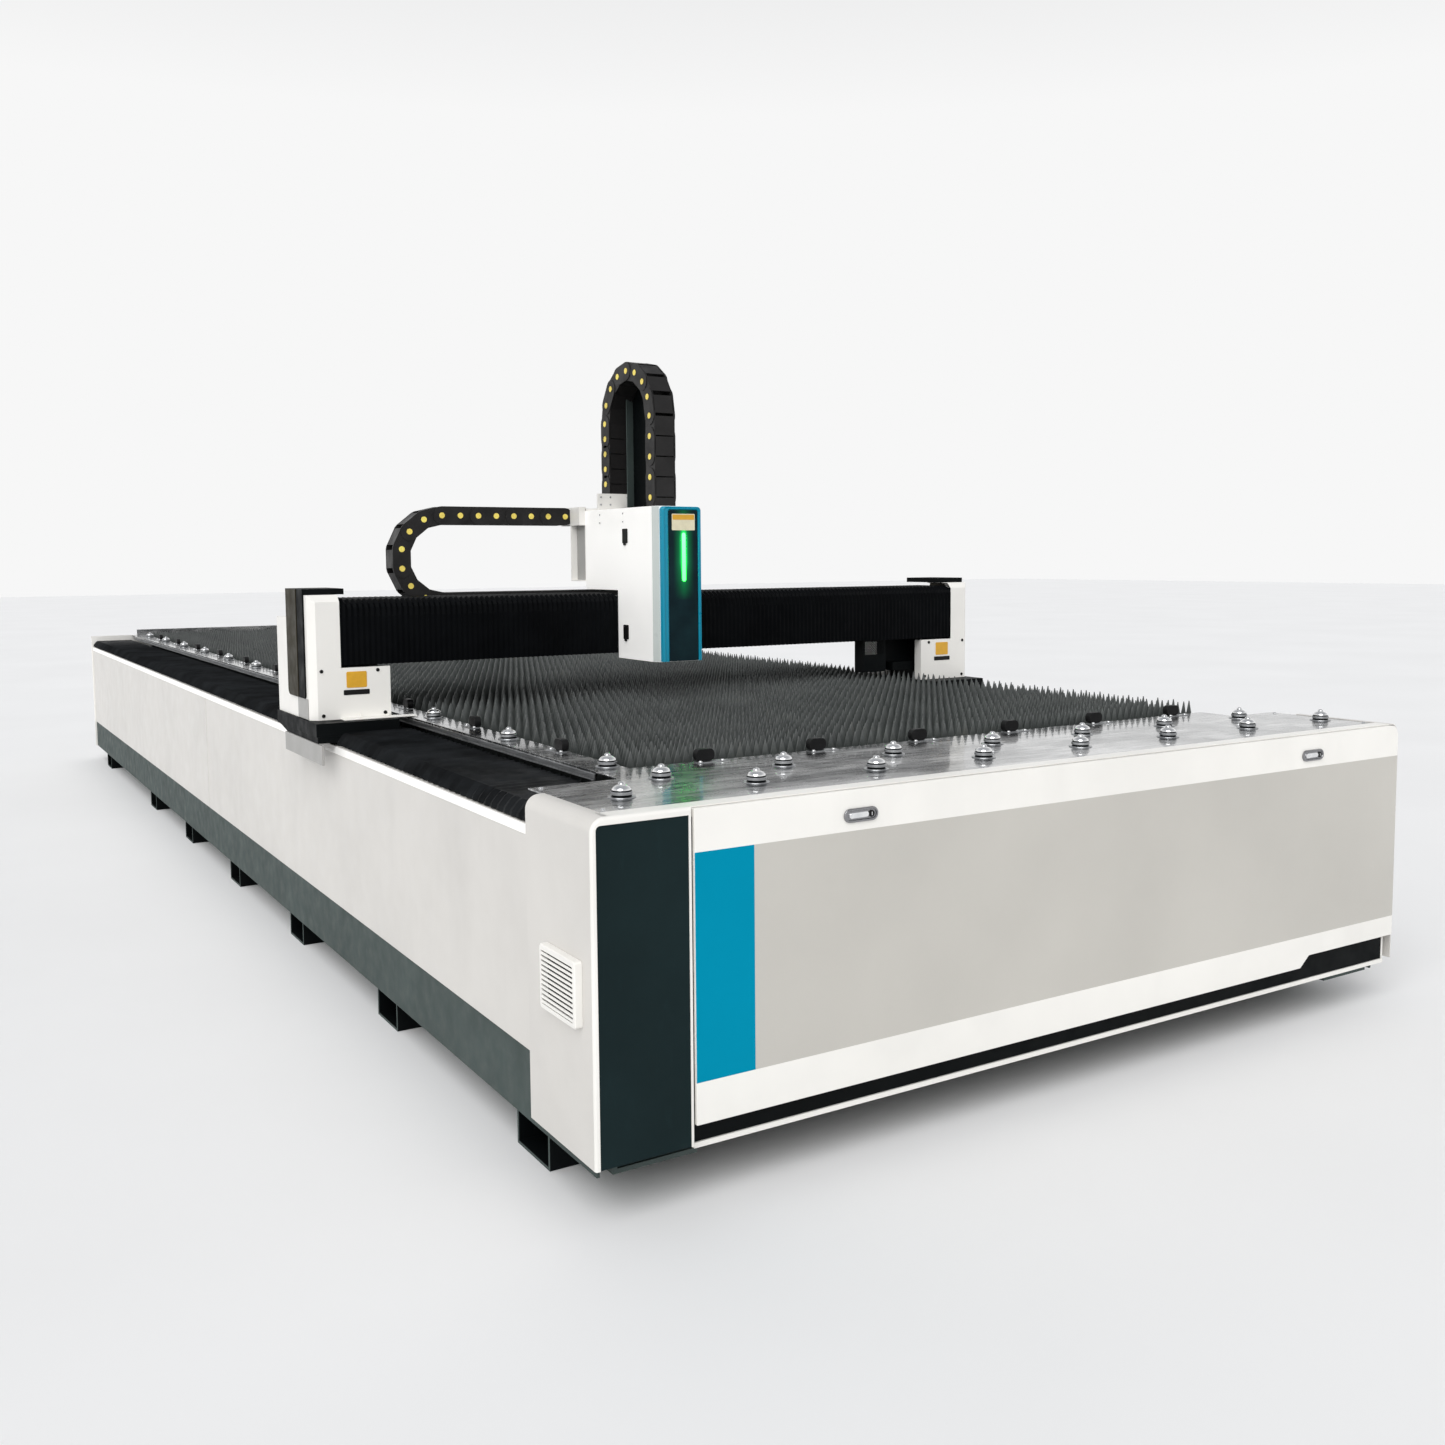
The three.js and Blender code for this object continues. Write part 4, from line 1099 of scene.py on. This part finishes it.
def x_chain():
    """The cross chain: an upper run from the head, a bend and a lower run in the tray."""
    y = sum(X_CHAIN) / 2
    width = X_CHAIN[1] - X_CHAIN[0]
    across = Vector((0, 1, 0))
    middle = X_CHAIN_UPPER - X_CHAIN_RADIUS
    lower = middle - X_CHAIN_RADIUS
    inside = Vector((X_BEND, y, middle))
    head_end = Vector((X_BRACKET - 22, y, X_CHAIN_UPPER))
    upper = straight_links(head_end, Vector((X_BEND, y, X_CHAIN_UPPER)), 7)
    bend = bend_links(inside, X_CHAIN_RADIUS, 90, 270, 7, Vector((1, 0, 0)), Vector((0, 0, 1)))
    under = straight_links(Vector((X_BEND, y, lower)), Vector((-20, y, lower)), 12)
    for name, links in (("upper", upper), ("bend", bend), ("lower", under)):
        for piece in chain(f"cross_chain_{name}", links, across, width, inside, name == "bend"):
            if name == "bend":
                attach(piece, "chain_bend")
            elif name == "upper":
                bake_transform(piece)
            else:
                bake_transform(piece)
            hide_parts(f"x_chain_{name}")


def z_chain():
    """The upright loop above the head, from the bracket behind it to the lifting slide."""
    centre_z = Z_CHAIN_TOP - Z_CHAIN_RADIUS - LINK / 2
    centre = Vector((Z_CHAIN_X, Z_CHAIN_MIDDLE, centre_z))
    rear = Z_CHAIN_MIDDLE + Z_CHAIN_RADIUS
    front = Z_CHAIN_MIDDLE - Z_CHAIN_RADIUS
    foot = Vector((Z_CHAIN_X, rear, HEAD_TOP + 46))
    links = straight_links(foot, Vector((Z_CHAIN_X, rear, centre_z)), 5)
    links += bend_links(centre, Z_CHAIN_RADIUS, 0, 180, 8, Vector((0, 1, 0)), Vector((0, 0, 1)))
    links += straight_links(Vector((Z_CHAIN_X, front, centre_z)), Vector((Z_CHAIN_X, front, 1641)), 5)
    for piece in chain("lift_chain", links, Vector((1, 0, 0)), 96, centre):
        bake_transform(piece)
        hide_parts("z_chain")


def chain_guard():
    """The black upright sheet on the right of the loop, with a folded edge beside its rear leg painted
    lighter grey as a highlight.
    """
    guard = Shape()
    outline = [(2017, 1684), (2349, 1684)] + arc(2183, 2026, 166, 0, 180, 20)
    guard.prism(outline, 0, -147.6, -145)
    # The folded edge is the same black sheet, painted frame grey as a highlight.
    guard.prism([(-182, 2300), (-148, 2308), (-148, 2311), (-183, 2303)], 2, 1692, 2136, 1)
    guard.box(-200, -145, 2036, 2332, 1681.4, 1684)
    fit(guard.build("chain_guard", BLACK, FRAME_GREY, bevel=0.8), "carriage")


# Head.


def head_trim():
    """The teal frame on the nose, a moulded bead that runs up, over and down round the window."""
    back = HEAD_NOSE - 0.4
    bottom = HEAD_BOTTOM + 2
    profile = (
        (0, back), (0, back - 15), (0.08, back - 20), (0.25, back - 22), (0.42, back - 19.5),
        (0.55, back - 19.5), (0.7, back - 21.5), (0.84, back - 20.5), (1, back - 16), (1, back),
    )
    runs = []
    for t, y in profile:
        x0 = TRIM[0] + (PANE[0] - TRIM[0]) * t
        x1 = TRIM[1] + (PANE[1] - TRIM[1]) * t
        z1 = HEAD_TOP - 2 + (PANE_TOP - HEAD_TOP + 2) * t
        radius = 14 - 6 * t
        line = [(x0, bottom)] + arc(x0 + radius, z1 - radius, radius, 180, 90, 6)
        line += arc(x1 - radius, z1 - radius, radius, 90, 0, 6) + [(x1, bottom)]
        runs.append([(x, y, z) for x, z in line])
    piece = Shape().rings([list(ring) for ring in zip(*runs)]).build("nose_trim", BEAD, smooth=50)
    fit(piece, "carriage", "head_trim")


def head_window():
    """The dark pane, the lit lamp bar on its face and the blank film at its top."""
    back = HEAD_NOSE - 0.4
    x0, x1 = PANE[0] + 0.6, PANE[1] - 0.6
    pane = Shape().prism(rounded(x0, x1, HEAD_BOTTOM + 2, PANE_TOP - 0.6, 7), 1, back - 16, back - 4)
    fit(pane.build("nose_window", GLASS, bevel=1.0), "carriage", "head_window")
    layers = []
    for radius, y in ((7.5, back - 16.2), (7.5, back - 17.2), (5, back - 18.4)):
        upright = arc(LAMP_X, 1581 - radius, radius, 0, 180, 8)
        layers.append((upright + arc(LAMP_X, 1400 + radius, radius, 180, 360, 8), y))
    lamp = Shape().stack(1, layers)
    film = Shape()
    film.prism(rounded(-247, -149, 1590, 1651, 3), 1, back - 16.9, back - 16.2)
    film.prism(rounded(-244, -152, 1629, 1648, 2), 1, back - 17.3, back - 16.9, 1)
    fit_all(
        "carriage",
        ("status_lamp", lamp, [LAMP], "window_glass", 0),
        ("blank_film", film, [CREAM, AMBER], "white_paint", 0),
    )


def head_details():
    """Corner facets in a grey that is the head's white painted darker as shade, black side catches and
    small screws on the head.
    """
    facets, catches, screws = Shape(), Shape(), Shape()
    x0 = HEAD_X - HEAD_HALF
    for side in SIDES:
        a = HEAD_X + side * HEAD_HALF
        b = HEAD_X + side * (HEAD_HALF - 15)
        skin = side * 0.6
        outline = [(a, HEAD_FRONT), (b, HEAD_NOSE)]
        outline += [(b + skin, HEAD_NOSE - 0.3), (a + skin, HEAD_FRONT - 0.3)]
        facets.prism(outline, 2, HEAD_BOTTOM + 1, HEAD_TOP - 1)
        out = a + side * 4
        for z in (1545, 1175):
            catches.prism(rounded(2062, 2102, z, z + 56, 4), 0, *sorted((a, out)))
            catches.prism(rounded(2076, 2090, z - 8, z + 4, 2), 0, *sorted((a, out + side * 2)))
    for z in (1640, 1672):
        for y in (2100, 2300):
            screw(screws, x0, y, z - 12, 0, 4, 2, -1)
    fit_all(
        "carriage",
        ("nose_facets", facets, [SHADED_FACET_GREY], "white_paint", 0),
        ("side_catches", catches, [RUBBER], "black_paint", 0.8),
        ("head_screws", screws, [STEEL], "machined_steel", 0),
    )


def bracket():
    """The bent bracket that holds both chains: white block, a web in grey that is painted shade inside
    the channel, flange and top plate.
    """
    side = HEAD_X - HEAD_HALF
    back = 2434.4
    rear = X_CHAIN[0]
    low = X_CHAIN_UPPER - 37
    part = Shape()
    part.box(side, HEAD_X + HEAD_HALF, back, back + 6, 1400, 1690)
    part.box(X_BRACKET, side + 4, back, X_CHAIN[1], low, X_CHAIN_UPPER + 37)
    # The web is white in fact; it is painted grey as the shade inside the channel.
    part.box(side, side + 4, back + 6.2, rear - 4.2, 1400.6, low - 0.2, 1)
    part.box(X_BRACKET, side + 4, rear - 4, rear, 1400, low - 0.2)
    part.box(X_BRACKET, side + 4, back, rear, 1396, 1400)
    part.box(-303, -158, 2334, back, HEAD_TOP + 0.6, HEAD_TOP + 8)
    part.box(-303, -158, 2323, 2333.8, HEAD_TOP + 0.6, HEAD_TOP + 66)
    for x in (-290, -248, -171):
        for z in (1702, 1732):
            screw(part, x, 2323, z, 1, 4, 2.5, -1, 2)
    piece = part.build("bracket", WHITE, GUARD_GREY_AND_PAINTED_SHADE, STEEL, bevel=1.0)
    fit(piece, "carriage", "chain_bracket")


def cutting_head():
    """The cutting head: a body block, a collimator tube, knurled rings and the nozzle."""
    y = 1993
    head = Shape()
    head.box(HEAD_X - 40, HEAD_X + 40, y - 40, 2089.6, 1300, 1560)
    head.box(HEAD_X - 34, HEAD_X + 34, y - 42, y - 40, 1330, 1530, 1)
    profile = [
        (0, 1106), (3, 1106), (11, 1122), (12, 1126), (22, 1128), (22, 1158), (26, 1160), (26, 1170),
        (34, 1176), (34, 1204), (31, 1206), (31, 1212), (34, 1214), (34, 1262), (31, 1264), (31, 1270),
        (34, 1272), (34, 1300), (0, 1300),
    ]
    head.lathe(profile, (HEAD_X, y, 0), 2, 32, 2)
    piece = head.build("cutting_tool", CHROME, BLACK, STEEL, bevel=0.8)
    fit(piece, "lift", "cutting_head")


# CAD nodes that stay.


def finish_nodes():
    """Gives each carried-over CAD node its material and softens its folded or cut edges."""
    # The side panels and cheeks take the side white, painted darker as shade.
    both = [
        ("bed_frame", FRAME_GREY, 2.0), ("side_panel", SHADED_SIDE_WHITE, 1.6), ("front_cheek", SHADED_SIDE_WHITE, 1.6),
        ("y_rail", STEEL, 0.8), ("gantry_cover", WHITE, 1.2),
        ("motor_cover", WHITE, 1.6), ("y_motor", BLACK, 1.5), ("y_pinion", STEEL, 0.4),
    ]
    looks = [(f"{name}_{hand}", *look) for name, *look in both for _, hand in HANDS]
    looks += [(f"foot_tube_{i}", BLACK, 2.5) for i in range(1, 8)]
    looks += [
        ("side_strip_left", PLATE, 0.8), ("front_corner_panel", DEEP, 1.0), ("front_plinth", BLACK, 1.0),
        ("rear_panel", WHITE, 2.0), ("end_plate_front", PLATE, 0.8), ("end_plate_rear", PLATE, 0.8),
        ("gantry_beam", DEEP, 2.0), ("x_rail", STEEL, 0.8), ("carriage_plate", STEEL, 1.0),
        # The head cover takes the head white with its painted glow.
        ("head_cover", HEAD_WHITE_PAINTED_GLOW, 1.2), ("z_slide", PLATE, 1.2),
    ]
    for name, material, width in looks:
        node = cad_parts[name]
        node.data.materials.clear()
        node.data.materials.append(material)
        weld = node.modifiers.new("weld", "WELD")
        weld.merge_threshold = 0.00002
        soften(node, width, 2, 40)


# Stage.


def stage_floor():
    mesh = bpy.data.meshes.new("floor")
    size = 60
    corners = [(-size, -size, 0), (size, -size, 0), (size, size, 0), (-size, size, 0)]
    mesh.from_pydata(corners, [], [[0, 1, 2, 3]])
    floor = added("floor", mesh)
    s = Surface("floor")
    cloud = s.noise(0.6, 4.0)
    s.link(s.ramp(cloud, (0.3, (0.84, 0.84, 0.84)), (0.7, (0.87, 0.87, 0.87))), "Base Color")
    s.set(Roughness=0.75)
    mesh.materials.append(s.material)


def studio():
    """A bright even room and one very broad soft lamp from the front left and above."""
    world = bpy.data.worlds.new("studio")
    bpy.context.scene.world = world
    world.use_nodes = True
    tree = world.node_tree
    place = tree.nodes.new("ShaderNodeTexCoord")
    parts = tree.nodes.new("ShaderNodeSeparateXYZ")
    ramp = tree.nodes.new("ShaderNodeValToRGB")
    tree.links.new(place.outputs["Generated"], parts.inputs["Vector"])
    tree.links.new(parts.outputs["Z"], ramp.inputs["Fac"])
    tree.links.new(ramp.outputs["Color"], tree.nodes["Background"].inputs["Color"])
    low, high = ramp.color_ramp.elements
    low.position, low.color = 0.30, (1, 1, 1, 1)
    high.position, high.color = 0.80, (0.45, 0.46, 0.48, 1)
    tree.nodes["Background"].inputs["Strength"].default_value = 0.93
    data = bpy.data.lights.new("softbox", "SUN")
    data.energy = 1.85
    data.angle = math.radians(50)
    lamp = added("softbox", data)
    lamp.rotation_mode = "QUATERNION"
    lamp.rotation_quaternion = Vector((0.50, 0.50, -0.71)).to_track_quat("-Z", "Y")


def camera():
    data = bpy.data.cameras.new("camera")
    data.sensor_width = 36
    data.lens = CAMERA_LENS
    data.shift_x, data.shift_y = CAMERA_SHIFT
    data.clip_end = 200
    made = added("camera", data)
    yaw = Matrix.Rotation(math.radians(-CAMERA_YAW), 4, "Z")
    pitch = Matrix.Rotation(math.radians(90 - CAMERA_PITCH), 4, "X")
    roll = Matrix.Rotation(math.radians(-CAMERA_ROLL), 4, "Z")
    made.matrix_world = Matrix.Translation(CAMERA_PLACE) @ yaw @ pitch @ roll
    bpy.context.scene.camera = made


camera()
stage_floor()
studio()
bpy.context.scene.view_settings.view_transform = "Standard"
for make in (
    slat_tables, scrap_tray, bed_hardware, strip_edges, panel_seams, foot_ends, front_lip,
    corner_rim, vent, rear_details, door, door_back, latches, side_bellows, beam_bellows,
    gantry_feet, gantry_caps, cover_screws, perforated_guard, x_chain, z_chain, chain_guard,
    head_trim, head_window, head_details, bracket, cutting_head, finish_nodes,
):
    make()
